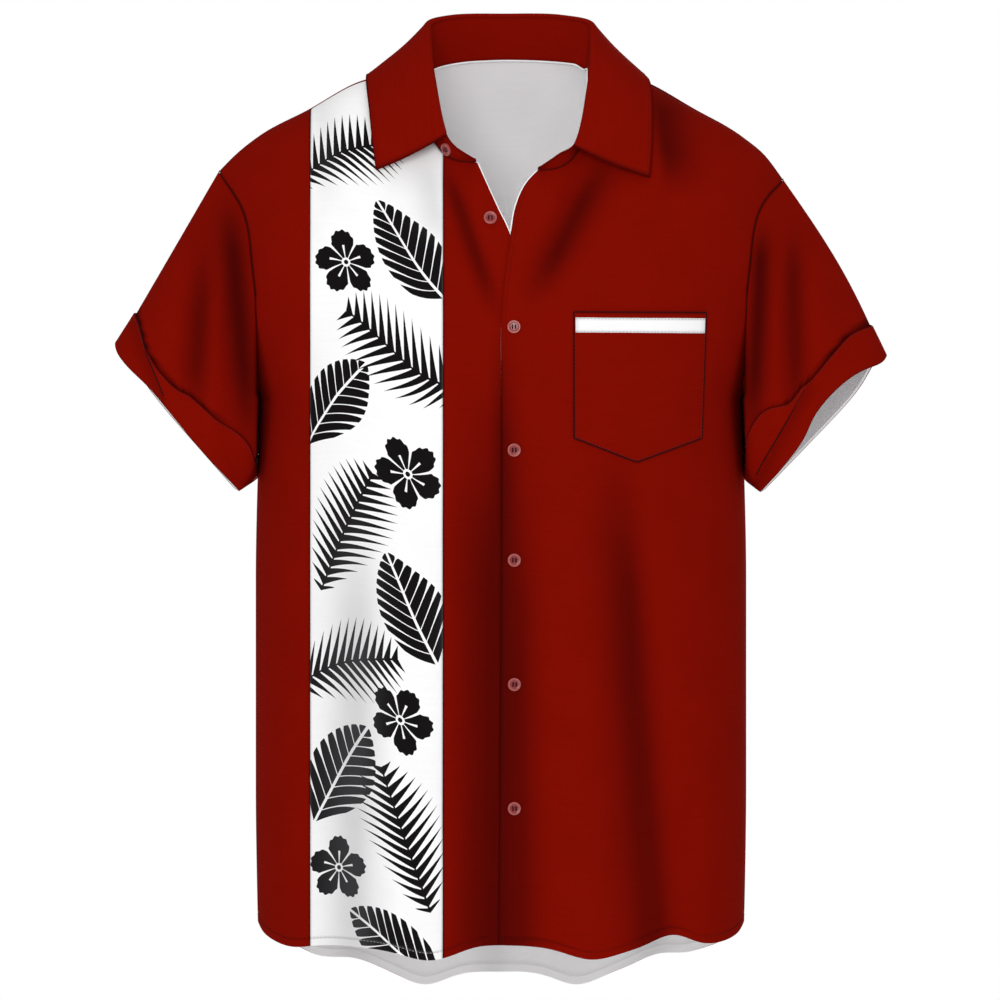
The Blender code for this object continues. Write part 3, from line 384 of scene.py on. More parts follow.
# Smaller creases that only the shell has, in the columns of the folds.
FRONT_CREASES = table(
    "top_x top_z foot_x foot_z width out hem",
    (-176, -200, -146, -300, 8, -1.6, 0),       # drag lines from the armholes
    (-190, -300, -166, -430, 8, 1.2, 0),
    (198, -225, 168, -330, 8, -1.6, 0),
    (190, -330, 162, -480, 9, 1.3, 0),
    (-112, -330, -106, -800, 10, -2.4, 0),      # down the white panel
    (-92, -520, -88, -800, 8, 1.4, 0),
    (-62, -110, -20, -270, 6, -1.4, 0),         # from the collar
    (62, -96, 20, -230, 7, -1.6, 0),
    (-140, -60, -130, -190, 8, -1.2, 0),
    (152, -48, 140, -140, 8, -1.4, 0),
    (42, -420, 52, -800, 10, -1.8, 0),          # below the chest
    (110, -420, 128, -800, 9, -2.6, 0),
    (160, -560, 166, -800, 9, -1.6, 0),
    (20, -325, 36, -400, 5, -0.8, 0),           # pulls at the buttons
    (20, -420, 38, -505, 5, -0.7, 0),
    (-12, -525, -30, -600, 5, -0.7, 0),
)
BACK_CREASES = table(
    "top_x top_z foot_x foot_z width out hem",
    (-120, -120, -64, -260, 12, -1.6, 0),       # across the shoulder blades
    (124, -130, 74, -280, 12, -1.6, 0),
    (-192, -250, -152, -390, 9, -1.6, 0),       # drag lines from the armholes
    (188, -240, 150, -370, 9, -1.5, 0),
    (-40, -80, -30, -240, 14, 1.2, 0),
    (34, -90, 40, -230, 13, -1.2, 0),
    (-100, -480, -96, -800, 9, -1.8, 0),
    (-34, -430, -26, -800, 9, 1.6, 0),
    (22, -520, 30, -800, 8, -1.8, 0),
    (92, -450, 98, -800, 9, 1.5, 0),
    (150, -500, 154, -800, 9, -1.6, 0),
)

# Where the folds' hollows lie in shade: a line from its top to its foot, how far the shade reaches
# to its left and right, how deep it is and by what share of the line it has faded in.
FRONT_HOLLOWS = table(
    "top_x top_z foot_x foot_z left right deep fades_in",
    (-120, -340, -124, -800, 28, 18, 0.35, 0.3),    # the white panel
    (-152, -10, -147, -130, 8, 14, 0.12, 0.3),
    (-62, -70, -50, -150, 16, 6, 0.24, 0.3),
    (-10, -250, -12, -800, 26, 8, 0.56, 0.35),      # beside the overlap
    (-3, -210, -5, -800, 6, 6, 0.40, 0.2),
    (2, -225, 1, -800, 4, 12, 0.54, 0.2),           # on it
    (14, -300, 17, -800, 12, 16, 0.42, 0.4),
    (-50, -70, 0, -212, 9, 6, 0.55, 0.3),           # from the collar to the overlap
    (90, -66, 22, -200, 11, 15, 0.58, 0.35),
    (98, -310, 138, -800, 24, 13, 0.50, 0.28),      # below the pocket
    (130, 0, 146, -105, 7, 22, 0.62, 0.35),         # under the collar's leaf
)
BACK_HOLLOWS = table(
    "top_x top_z foot_x foot_z left right deep fades_in",
    (-150, -270, -126, -800, 14, 18, 0.45, 0.35),
    (-18, -320, -4, -800, 16, 12, 0.42, 0.4),
    (118, -290, 134, -800, 18, 12, 0.48, 0.35),
    (-124, -125, -66, -265, 10, 14, 0.35, 0.3),
    (126, -135, 76, -285, 14, 10, 0.35, 0.3),
)

# How the pocket swells, by its depth.
POCKET_BULGE = table("down out", (0, 0.3), (0.25, 0.6), (0.7, 1.0), (1.0, 0.6), (1.2, 0.0))

# The cloth's slight unevenness: waves that lean across it, by their lengths.
WAVES = table(
    "across up size shift",
    (97, -410, 0.55, 1.0), (63, 230, 0.45, 0.4), (41, -170, 0.30, 2.1), (29, 120, 0.16, 4.0),
    (160, 95, 0.40, 3.3), (-75, 61, 0.22, 5.6),
)

# The printed motifs on the white panel: where the middle of each lies across it from its outer
# seam and in height, how long it is and how far it is turned from upright.
PRINT_ZERO = (57.0, -216.0)
MOTIFS = table(
    "kind across height size turn",
    ("frond", 26, -70, 104, -62), ("broad", 88, -142, 96, 40), ("flower", 30, -168, 56, 10),
    ("frond", 84, -236, 118, 64), ("broad", 22, -286, 92, -38), ("flower", 88, -330, 60, 30),
    ("frond", 34, -392, 112, -24), ("broad", 92, -446, 98, 28), ("frond", 30, -508, 108, -70),
    ("flower", 84, -540, 58, 50), ("broad", 28, -600, 100, -30), ("frond", 88, -640, 116, 22),
    ("flower", 26, -682, 54, 0), ("broad", 80, -735, 94, 66),
)


# ---------------------------------------------------------------- reading the tables

def read(rows, key, column, at):
    """A column of a table at the places `at` of its key column, on one smooth curve."""
    x = np.array([row[key] for row in rows], float)
    y = np.array([row[column] for row in rows], float)
    step = np.diff(x)
    rise = np.diff(y) / step
    slope = np.empty_like(y)
    slope[0], slope[-1] = rise[0], rise[-1]
    level = rise[:-1] * rise[1:] <= 0
    slope[1:-1] = np.where(level, 0, (rise[:-1] * step[1:] + rise[1:] * step[:-1]) / (step[:-1] + step[1:]))
    at = np.clip(np.asarray(at, float), x[0], x[-1])
    i = np.clip(np.searchsorted(x, at, side="right") - 1, 0, len(x) - 2)
    t = (at - x[i]) / step[i]
    u = 1 - t
    ends = y[i] * (1 + 2 * t) * u * u + y[i + 1] * (1 + 2 * u) * t * t
    return ends + step[i] * t * u * (slope[i] * u - slope[i + 1] * t)


def ease(x, start, end):
    """0 before start, 1 after end and smooth between them."""
    t = np.clip((x - start) / (end - start), 0, 1)
    return t * t * (3 - 2 * t)


def fold_height(folds, x, z):
    """How far the folds of a table move the cloth out at these places."""
    out = np.zeros(np.broadcast(x, z).shape)
    for fold in folds:
        reach = fold["top_z"] - fold["foot_z"]
        share = (fold["top_z"] - z) / reach
        centre = fold["top_x"] + (fold["foot_x"] - fold["top_x"]) * np.clip(share, 0, 1)
        fades_in = ease(share, -0.05, 0.35)
        fades_out = 1 if fold["foot_z"] <= -800 else 1 - ease(share, 0.70, 1.1)
        out = out + fold["out"] * fades_in * fades_out * np.exp(-(((x - centre) / fold["width"]) ** 2))
    return out


def unevenness(x, z, side):
    """How far the waves move the cloth out at these places of a side."""
    out = 0.0
    for wave in WAVES:
        turns = x / wave["across"] + z / wave["up"]
        out = out + wave["size"] * np.sin(2 * math.pi * turns + wave["shift"] + side)
    return out


# ---------------------------------------------------------------- the worn form

def half_width(level):
    rise = 1 + np.minimum(level, 0) / ARM_DEPTH
    return np.where(
        rise > 0, read(CHEST, "rise", "half_width", rise), read(BODY, "height", "half_width", level)
    )


def form(side, turn, level):
    """The point of the worn cloth's outer face at this side, turn and level."""
    turn, level = np.broadcast_arrays(np.asarray(turn, float), np.asarray(level, float))
    side = np.where(level > 0, -side, side)
    level = -np.abs(level)
    rise = np.clip(1 + level / ARM_DEPTH, 0, 1)
    angle = rise * math.pi / 2
    sine, cosine = np.sin(np.radians(turn)), np.cos(np.radians(turn))
    x = half_width(level) * sine
    out = np.abs(x)
    shoulder = np.where(x < 0, read(SHOULDER, "out", "right", out), read(SHOULDER, "out", "left", out))
    is_front = side == FRONT
    power = 2 / np.where(
        is_front, read(ROUNDNESS, "out", "front", out), read(ROUNDNESS, "out", "back", out)
    )
    climbed = np.where(rise > 0, (shoulder + ARM_DEPTH) * np.sin(angle) ** power, 0)
    z = np.where(rise > 0, -ARM_DEPTH, level) + climbed
    kept = np.clip(np.cos(angle), 0, 1) ** power
    front = np.where(rise > 0, FRONT_DEPTH * kept, read(BODY, "height", "front", level))
    back = np.where(rise > 0, BACK_DEPTH * kept, read(BODY, "height", "back", level))
    square = np.where(is_front, FRONT_SQUARENESS, BACK_SQUARENESS)
    depth = np.where(is_front, front, back) * cosine * (1 + square * sine**2)
    folds = np.where(is_front, fold_height(FRONT_FOLDS, x, z), fold_height(BACK_FOLDS, x, z))
    small = np.where(is_front, fold_height(FRONT_CREASES, x, z), fold_height(BACK_CREASES, x, z))
    small = small + unevenness(x, z, side) * (1 - ease(rise, 0.7, 1.0))
    depth = depth + (folds + small) * (1 - np.abs(sine) ** 5)
    return np.stack([x, side * depth, z], axis=-1)


def facing(side, turn, level):
    """The direction that the cloth faces, outwards, at places of the form."""
    step = 0.5
    over = form(side, turn, level + step) - form(side, turn, level - step)
    round_it = form(side, turn + step, level) - form(side, turn - step, level)
    normal = np.cross(round_it, over) * -side
    return normal / np.linalg.norm(normal, axis=-1, keepdims=True)


def turn_at(x, level):
    return np.degrees(np.arcsin(np.clip(x / half_width(level), -1, 1)))


def place(x, z):
    """Turn and level of the front where it shows at x and z."""
    out = np.abs(x)
    shoulder = np.where(x < 0, read(SHOULDER, "out", "right", out), read(SHOULDER, "out", "left", out))
    share = np.clip((z + ARM_DEPTH) / (shoulder + ARM_DEPTH), 0, 1)
    angle = np.arcsin(share ** (read(ROUNDNESS, "out", "front", out) / 2))
    level = np.where(z < -ARM_DEPTH, z, -ARM_DEPTH * (1 - angle / (math.pi / 2)))
    return turn_at(x, level), level


def hem_level(side, turn):
    """Height of the hem, with what the folds lift or drop."""
    column, folds = ("front", FRONT_FOLDS) if side == FRONT else ("back", BACK_FOLDS)
    level = read(HEM, "turn", column, np.abs(turn))
    x = half_width(level) * np.sin(np.radians(turn))
    for fold in folds:
        if fold["foot_z"] <= -800:
            level = level + fold["hem"] * np.exp(-(((x - fold["foot_x"]) / fold["width"]) ** 2))
    return level


def armhole_turn(level):
    return 90 - read(ARMHOLE, "rise", "inwards", 1 + level / ARM_DEPTH)


# ---------------------------------------------------------------- how the cloth is divided

def towards_end(count, length):
    """Shares of an edge this long, without its start, in even steps and then finer ones."""
    near = 1 - np.array(END_STEPS) / length
    return np.concatenate([np.linspace(0, near[0], count - len(near) + 2)[1:-1], near])


def across(length):
    """Shares of the columns between two edges this far apart, finer beside both."""
    near = np.array(END_STEPS[::-1])
    steps = round((length - 2 * near[-1]) / SPACING)
    middle = np.linspace(near[-1], length - near[-1], steps + 1)[1:-1]
    return np.concatenate([near, middle, length - near[::-1]]) / length


BODY_SHARE = np.concatenate([
    HEM_STEPS, np.linspace(HEM_STEPS[-1] + SPACING, BODY_RUN, ROWS_BODY + 1 - len(HEM_STEPS)),
]) / BODY_RUN
ARM_RISE = towards_end(ROWS_ARMHOLE, ARM_DEPTH - SHOULDER_SEAM_FORWARD)
ARM_RISE[:-len(END_STEPS)] = (
    ARM_RISE[-len(END_STEPS)] * (ARM_RISE[:-len(END_STEPS)] / ARM_RISE[-len(END_STEPS)]) ** 1.3
)
# The angle round an armhole, from the underarm over the front to the shoulder and back behind.
HALF_TURN = math.pi * ARM_RISE ** (1 / 1.3)
ARM_ANGLE = np.concatenate([[0], HALF_TURN, 2 * math.pi - HALF_TURN[-2::-1]])
# The shares of the columns across each panel, for its usual width.
COLUMNS = {"side": across(105), "insert": across(132), "centre": across(72), "upper": across(290)}
NAPE_START = 11 / 32        # the share of the back's width at which the neck begins
BACK_END = across(190)[: -len(END_STEPS) + 1]
BACK_END = BACK_END / BACK_END[-1] * NAPE_START
COLUMNS["back"] = np.concatenate([
    BACK_END, np.linspace(NAPE_START, 1 - NAPE_START, 46)[1:-1], 1 - BACK_END[::-1],
])
NAPE_COLUMNS = np.s_[len(BACK_END):len(COLUMNS["back"]) - len(BACK_END)]


# ---------------------------------------------------------------- outlines of the panels

def upright(foot, top, turn_of, climb):
    """An edge from the hem up to level `top`, as turns and levels. `climb` gives the shares of
    the part above the underarm."""
    level = np.concatenate([
        foot + (-ARM_DEPTH - foot) * BODY_SHARE, -ARM_DEPTH + (top + ARM_DEPTH) * climb,
    ])
    return np.stack([turn_of(level), level], axis=-1)


def side_edge(side, sign):
    """The side seam and the armhole's edge, from the hem to the shoulder seam."""
    foot = hem_level(side, 90.0)
    last = -SHOULDER_SEAM_FORWARD if side == FRONT else SHOULDER_SEAM_FORWARD
    arm = -ARM_DEPTH + (ARM_DEPTH + last) * ARM_RISE
    level = np.concatenate([foot + (-ARM_DEPTH - foot) * BODY_SHARE, arm])
    turn = np.concatenate([np.full(ROWS_BODY + 1, 90.0), armhole_turn(-np.abs(arm))])
    return np.stack([sign * turn, level], axis=-1)


def shoulder_seam(from_x, to_x, share):
    """Part of the shoulder seam on the front, between two places across."""
    x = from_x + (to_x - from_x) * share
    level = np.full_like(x, -SHOULDER_SEAM_FORWARD)
    return np.stack([turn_at(x, level), level], axis=-1)


def side_neck(sign):
    """Where the shoulder seam meets the neck seam: x, z."""
    x = NECK_MIDDLE + sign * NECK_HALF_WIDTH
    point = form(FRONT, turn_at(x, -SHOULDER_SEAM_FORWARD), -SHOULDER_SEAM_FORWARD)
    return x, float(point[2])


def neckline(sign, end, at):
    """The front neck seam between the front edge (0) and the shoulder seam (1)."""
    x1, z1 = side_neck(sign)
    angle = np.asarray(at) * math.pi / 2
    x = end[0] + (x1 - end[0]) * np.sin(angle) ** (2 / NECK_ROUNDNESS)
    z = z1 - (z1 - end[1]) * np.clip(np.cos(angle), 0, 1) ** (2 / NECK_ROUNDNESS)
    turn, level = place(x, z)
    level = np.where(angle > math.pi / 2 - 1e-6, -SHOULDER_SEAM_FORWARD, level)
    return np.stack([turn, level], axis=-1)


def share_at(sign, end, x):
    """The share of the front neck seam that lies at x."""
    along = (x - end[0]) / (side_neck(sign)[0] - end[0])
    return math.asin(along ** (NECK_ROUNDNESS / 2)) / (math.pi / 2)


def hem(side, from_turn, to_turn, share):
    turn = from_turn + (to_turn - from_turn) * share
    return np.stack([turn, hem_level(side, turn)], axis=-1)


def front_edge(rows, neck_end):
    """A front edge from the hem up to the neck seam."""
    def turn_of(level):
        height = form(FRONT, 0.0, level)[..., 2]
        return turn_at(read(rows, "height", "across", height), level)

    turn, level = place(*neck_end)
    edge = upright(EDGE_FOOT, float(level), turn_of, towards_end(ROWS_CHEST, 190))
    edge[-1] = turn, level
    edge[0, 1] = hem_level(FRONT, edge[0, 0])
    return edge


def filled(foot, top, left, right, share):
    """A net of places inside four edges: rows run from foot to top."""
    u = share[None, :, None]
    risen = [(edge[:, 1] - edge[0, 1]) / (edge[-1, 1] - edge[0, 1]) for edge in (left, right)]
    v = (sum(risen) / 2)[:, None, None]
    between = (1 - v) * foot[None] + v * top[None] + (1 - u) * left[:, None] + u * right[:, None]
    corners = (
        (1 - u) * (1 - v) * foot[0] + u * (1 - v) * foot[-1] + (1 - u) * v * top[0] + u * v * top[-1]
    )
    return between - corners


def front_nets():
    """The nets of the four front pieces."""
    left_seam, right_seam = INSERT_SEAMS

    def at(x):
        return lambda level: turn_at(x, level)

    seam_foot = [float(turn_at(x, INSERT_FOOT)) for x in INSERT_SEAMS]
    seam_share = share_at(-1, UNDER_NECK_END, right_seam)
    seam_top = neckline(-1, UNDER_NECK_END, [seam_share])[0]
    even = np.linspace(0, 1, ROWS_CHEST + 1)[1:]

    outer_side = side_edge(FRONT, -1)
    outer_seam = upright(
        hem_level(FRONT, seam_foot[0]), -SHOULDER_SEAM_FORWARD, at(left_seam),
        towards_end(ROWS_ARMHOLE, 250),
    )
    foot = hem_level(FRONT, seam_foot[1])
    neck_shares = seam_share + (1 - seam_share) * towards_end(ROWS_NECK, 95)
    insert_right = upright(foot, float(seam_top[1]), at(right_seam), even)
    insert_right[-1] = seam_top
    insert_right = np.concatenate([insert_right, neckline(-1, UNDER_NECK_END, neck_shares)])
    centre_left = upright(foot, float(seam_top[1]), at(right_seam), towards_end(ROWS_CHEST, 190))
    centre_left[-1] = seam_top
    under = front_edge(UNDER_EDGE, UNDER_NECK_END)
    upper = front_edge(UPPER_EDGE, UPPER_NECK_END)
    upper_neck = neckline(1, UPPER_NECK_END, towards_end(ROWS_NECK, 110))
    upper_left = np.concatenate([upper, upper_neck])
    other_side = side_edge(FRONT, 1)

    def tip(edge):
        return float(form(FRONT, edge[-1, 0], edge[-1, 1])[0])

    side, insert, centre, upper_share = (COLUMNS[k] for k in ("side", "insert", "centre", "upper"))
    return {
        "side": filled(
            hem(FRONT, -90, seam_foot[0], side), shoulder_seam(tip(outer_side), left_seam, side),
            outer_side, outer_seam, side,
        ),
        "insert": filled(
            hem(FRONT, seam_foot[0], seam_foot[1], insert),
            shoulder_seam(left_seam, side_neck(-1)[0], insert), outer_seam, insert_right, insert,
        ),
        "centre": filled(
            hem(FRONT, seam_foot[1], under[0, 0], centre),
            neckline(-1, UNDER_NECK_END, seam_share * (1 - centre)), centre_left, under, centre,
        ),
        "upper": filled(
            hem(FRONT, upper[0, 0], 90, upper_share),
            shoulder_seam(side_neck(1)[0], tip(other_side), upper_share),
            upper_left, other_side, upper_share,
        ),
    }


def back_net():
    """The net of the back, which reaches over the shoulders to the seam in front of them."""
    share = COLUMNS["back"]
    left, right = side_edge(BACK, -1), side_edge(BACK, 1)
    tips = [float(form(BACK, edge[-1, 0], edge[-1, 1])[0]) for edge in (left, right)]
    bend = np.clip((share - NAPE_START) / (1 - 2 * NAPE_START), 0, 1) * 2 - 1
    x = NECK_MIDDLE + NECK_HALF_WIDTH * np.sin(bend * math.pi / 2)
    x = np.where(share < NAPE_START, tips[0] + (side_neck(-1)[0] - tips[0]) * share / NAPE_START, x)
    last = (1 - share) / NAPE_START
    x = np.where(last < 1, tips[1] + (side_neck(1)[0] - tips[1]) * last, x)
    dip = np.clip(np.cos(bend * math.pi / 2), 0, 1)
    level = SHOULDER_SEAM_FORWARD - (SHOULDER_SEAM_FORWARD - NAPE_LEVEL) * dip
    # Over the nape itself the seam keeps to one smooth curve as seen from the front.
    x0, x1 = side_neck(-1)[0], side_neck(1)[0]
    wanted = NAPE_ENDS[0] + (NAPE_ENDS[1] - NAPE_ENDS[0]) * (x - x0) / (x1 - x0)
    wanted = wanted + (NAPE_TOP - wanted) * dip
    tried = np.linspace(-130, -20, 111)[:, None]        # levels, to find the one at that height
    height = form(BACK, turn_at(x, tried), tried)[..., 2]
    found = np.array([np.interp(wanted[j], height[:, j], tried[:, 0]) for j in range(len(x))])
    level = level + (found - level) * ease(dip, 0.05, 0.35)
    top = np.stack([turn_at(x, -np.abs(level)), level], axis=-1)
    return filled(hem(BACK, -90, 90, share), top, left, right, share)


# ---------------------------------------------------------------- shells of cloth

def unit(v):
    return v / np.maximum(np.linalg.norm(v, axis=-1, keepdims=True), 1e-9)


def from_edge(points, side):
    """How far each point of a net lies from one of its sides, along the cloth."""
    axis = 0 if side in ("foot", "top") else 1
    step = np.linalg.norm(np.diff(points, axis=axis), axis=-1)
    start = np.zeros_like(step.take([0], axis))
    run = np.concatenate([start, np.cumsum(step, axis=axis)], axis=axis)
    return run if side in ("foot", "left") else run.take([-1], axis) - run


def eased_back(points, gap, sides="foot top left right"):
    """The net with its named edges drawn in by half a seam's gap."""
    points = points.copy()
    inner = {
        "foot": (np.s_[0], np.s_[1]), "top": (np.s_[-1], np.s_[-2]),
        "left": (np.s_[:, 0], np.s_[:, 1]), "right": (np.s_[:, -1], np.s_[:, -2]),
    }
    for side in sides.split():
        edge, beside_it = inner[side]
        points[edge] += unit(points[beside_it] - points[edge]) * gap / 2
    return points


def dipped(points, seen, sides):
    """The net with its edges pressed in: `sides` gives each side's depth, for all or by row."""
    moved = points.copy()
    for side, depth in sides.items():
        near = np.exp(-from_edge(points, side) / SEAM_WIDTH)
        depth = np.asarray(depth, float)
        if depth.ndim:
            depth = depth[:, None] if side in ("left", "right") else depth[None, :]
        moved -= seen * (near * depth)[..., None]
    return moved


def net_facing(points, is_round):
    """The direction that a net faces, from its own points."""
    if is_round:
        around = np.roll(points, -1, axis=1) - np.roll(points, 1, axis=1)
    else:
        around = np.gradient(points, axis=1)
    return unit(np.cross(around, np.gradient(points, axis=0)))


def thinned(outer, seen, thickness, is_round):
    """The thickness of the cloth at each point, less where it folds too sharply to keep it all."""
    for _ in range(6):
        inner = outer - seen * thickness[..., None]
        for axis in (0, 1):
            step, under = (np.roll(net, -1, axis) - net for net in (outer, inner))
            is_tight = np.sum(step * under, axis=-1) < 0.1 * np.sum(step * step, axis=-1)
            if axis == 0:
                is_tight[-1] = False
            elif not is_round:
                is_tight[:, -1] = False
            is_tight = is_tight | np.roll(is_tight, 1, axis)
            thickness = np.where(is_tight, np.maximum(0.5 * thickness, THINNEST), thickness)
    return thickness


def add_shell(
    name, outer, seen, thickness, slots, shade, is_round=False, pale_edges=(), pale_rows=(),
):
    """A shell of cloth between an outer net and an inner one, closed round its edges. The face
    and the edges take the first material, the reverse and the pale edges and rows the second.
    `shade` is how deep the tone is at each point of the face."""
    rows, columns = outer.shape[:2]
    thickness = thinned(outer, seen, np.broadcast_to(thickness, (rows, columns)), is_round)
    inner = outer - seen * thickness[..., None]
    last = columns if is_round else columns - 1
    i, j = np.meshgrid(np.arange(rows - 1), np.arange(last), indexing="ij")
    i, j = i.ravel(), j.ravel()
    quads = np.stack([np.stack([i, j]), np.stack([i, j + 1]), np.stack([i + 1, j + 1]),
                      np.stack([i + 1, j])])              # corner, row or column, face
    corners = [quads, quads[::-1]]
    below = [np.zeros_like(quads[:, 0]), np.ones_like(quads[:, 0])]
    slot = [np.isin(i, list(pale_rows)).astype(int), np.ones(len(i), int)]

    def close(first, second, is_pale):
        """A row of edge faces from the outer net's line of corners to the inner net's."""
        corners.append(np.stack([first, second, second, first]))
        count = first.shape[1]
        below.append(np.array([0, 0, 1, 1])[:, None] + np.zeros((1, count), int))
        slot.append(np.full(count, int(is_pale)))

    run = np.arange(last)
    for side, row in (("foot", 0), ("top", rows - 1)):
        a, b = np.stack([0 * run + row, run]), np.stack([0 * run + row, run + 1])
        first, second = (b, a) if side == "foot" else (a, b)
        close(first, second, side in pale_edges)
    if not is_round:
        climb = np.arange(rows - 1)
        for side, column in (("left", 0), ("right", columns - 1)):
            a, b = np.stack([climb, 0 * climb + column]), np.stack([climb + 1, 0 * climb + column])
            first, second = (a, b) if side == "left" else (b, a)
            close(first, second, side in pale_edges)

    corners = np.concatenate(corners, axis=2)             # corner, row or column, face
    below, slot = np.concatenate(below, axis=1), np.concatenate(slot)
    numbers = corners[:, 0] * columns + corners[:, 1] % columns + below * rows * columns
    points = np.concatenate([outer.reshape(-1, 3), inner.reshape(-1, 3)])
    first = points[numbers[:, 0]]
    if np.dot(np.cross(first[1] - first[0], first[3] - first[0]), seen[0, 0]) < 0:
        numbers, corners = numbers[::-1], corners[::-1]

    mesh = bpy.data.meshes.new(name)
    mesh.from_pydata((points * MM).tolist(), [], numbers.T.tolist())
    grid = cloth_lengths(outer, is_round) * MM
    uv = grid[corners[:, 0], corners[:, 1]]               # corner, face, axis
    mesh.uv_layers.new(name="cloth").data.foreach_set("uv", uv.transpose(1, 0, 2).ravel())
    # The painted shade, kept as the attribute fold: full on the face, half on the reverse.
    depth = np.concatenate([shade.ravel(), 0.5 * shade.ravel()])
    mesh.attributes.new("fold", "FLOAT", "POINT").data.foreach_set("value", depth)
    for finish in slots:
        mesh.materials.append(finish)
    mesh.polygons.foreach_set("material_index", slot.tolist())
    mesh.shade_smooth()
    mesh.set_sharp_from_angle(angle=math.radians(50))
    piece = bpy.data.objects.new(name, mesh)
    bpy.context.scene.collection.objects.link(piece)
    return piece


def cloth_lengths(points, is_round):
    """The place of each point on the flat cloth, in lengths along its rows and columns from
    its middle."""
    if is_round:
        points = np.concatenate([points, points[:, :1]], axis=1)
    along, up = from_edge(points, "left"), from_edge(points, "foot")
    rows, columns = along.shape
    return np.stack([along - along[:, [columns // 2]], up - up[[rows * 2 // 3]]], axis=-1)


def in_hollows(rows, x, z):
    """How deep in shade these places lie, by a table of the folds' hollows."""
    clear = np.ones(np.broadcast(x, z).shape)
    for row in rows:
        share = (row["top_z"] - z) / (row["top_z"] - row["foot_z"])
        centre = row["top_x"] + (row["foot_x"] - row["top_x"]) * np.clip(share, 0, 1)
        width = np.where(x < centre, row["left"], row["right"])
        fades = ease(share, -0.04, row["fades_in"])
        if row["foot_z"] > -800:
            fades = fades * (1 - ease(share, 0.6, 1.04))
        clear = clear * (1 - row["deep"] * fades * np.exp(-(((x - centre) / width) ** 2)))
    return 1 - clear


def shade_along_edges(points, sides):
    """The painted shade line beside the net's edges: `sides` gives each side's depth, for all or by row."""
    clear = np.ones(points.shape[:2])
    for side, deep in sides.items():
        deep = np.asarray(deep, float)
        if deep.ndim:
            deep = deep[:, None] if side in ("left", "right") else deep[None, :]
        clear = clear * (1 - deep * np.exp(-((from_edge(points, side) / EDGE_LINE) ** 2)))
    return 1 - clear


def both(one, other):
    """Two depths of tone laid over each other."""
    return 1 - (1 - one) * (1 - other)


def add_panel(name, side, net, slots, dips, sunk=None, armhole=(), pale_edges=(), lines=None):
    """A panel of the body. `armhole` gives its armhole edges, with the facing they share there
    with the sleeve, and `lines` how deep the painted shade beside its edges is. Returns the outer net and
    its facing, for the sewing."""
    turn, level = net[..., 0], net[..., 1]
    points, seen = form(side, turn, level), facing(side, turn, level)
    if sunk is not None:
        points = points - seen * sunk(points[..., 0])[..., None]
    for column, shared in armhole:
        seen[ROWS_BODY:, column] = shared
    points = eased_back(points, SEAM_GAP, " ".join(dips))
    points = dipped(points, seen, dips)
    folded = from_edge(points, "foot")
    groove = HEM_GROOVE * np.exp(-(((folded - HEM_WIDTH) / 0.7) ** 2))
    points = points - seen * groove[..., None]
    thickness = CLOTH + HEM_FOLD * (1 - ease(folded, HEM_WIDTH, HEM_WIDTH + 0.9))
    plain = form(side, turn, level)
    # The shade painted into the panel's colour: in the folds' hollows, beside its edges and in the hem's
    # groove.
    hollows = np.where(
        side * np.where(level > 0, -1, 1) == FRONT,
        in_hollows(FRONT_HOLLOWS, plain[..., 0], plain[..., 2]),
        in_hollows(BACK_HOLLOWS, plain[..., 0], plain[..., 2]),
    )
    shade = both(hollows, shade_along_edges(points, lines or {}))
    shade = both(shade, 0.3 * groove / HEM_GROOVE)
    piece = add_shell(name, points, seen, thickness, slots, shade, pale_edges=pale_edges)
    return piece, (points, seen)


# ---------------------------------------------------------------- sleeves and cuffs

def sleeve_hem(spec):
    """The loop of the sleeve's lower edge, from the inside of the arm over the front to the
    outside and back behind."""
    outer, inner = np.array(spec["outer"], float), np.array(spec["inner"], float)
    middle, half = (outer + inner) / 2, (outer - inner) / 2
    down = unit(np.array([-half[1], half[0]]) * -spec["sign"])
    along, sideways = -np.cos(ARM_ANGLE), np.sin(ARM_ANGLE)
    turns_in = np.where(sideways > 0, *INSIDE_TURN)
    along = np.where(along < 0, -np.minimum(np.abs(along) / turns_in, 1) ** 0.9, along)
    front_drop = read(spec["front_drop"], "along", "drop", along)
    drop = np.where(sideways > 0, front_drop, spec["back_drop"] * np.abs(sideways))
    lift, centre, width = spec["back_lift"]
    behind = np.exp(-(((np.degrees(ARM_ANGLE) - centre) / width) ** 2))
    drop = drop - lift * behind * ease(-sideways, 0, 0.3)
    xz = middle + half * along[:, None] + down * drop[:, None]
    risen = np.where(sideways > 0, 0.96, 0.65)
    xz[:, 1] += TUCK * np.clip((np.cos(ARM_ANGLE) - turns_in) / (risen - turns_in), 0, 1)
    reach = np.where(sideways > 0, spec["front"], spec["back"])
    return np.stack([xz[:, 0], spec["middle_y"] - reach * sideways, xz[:, 1]], axis=-1)


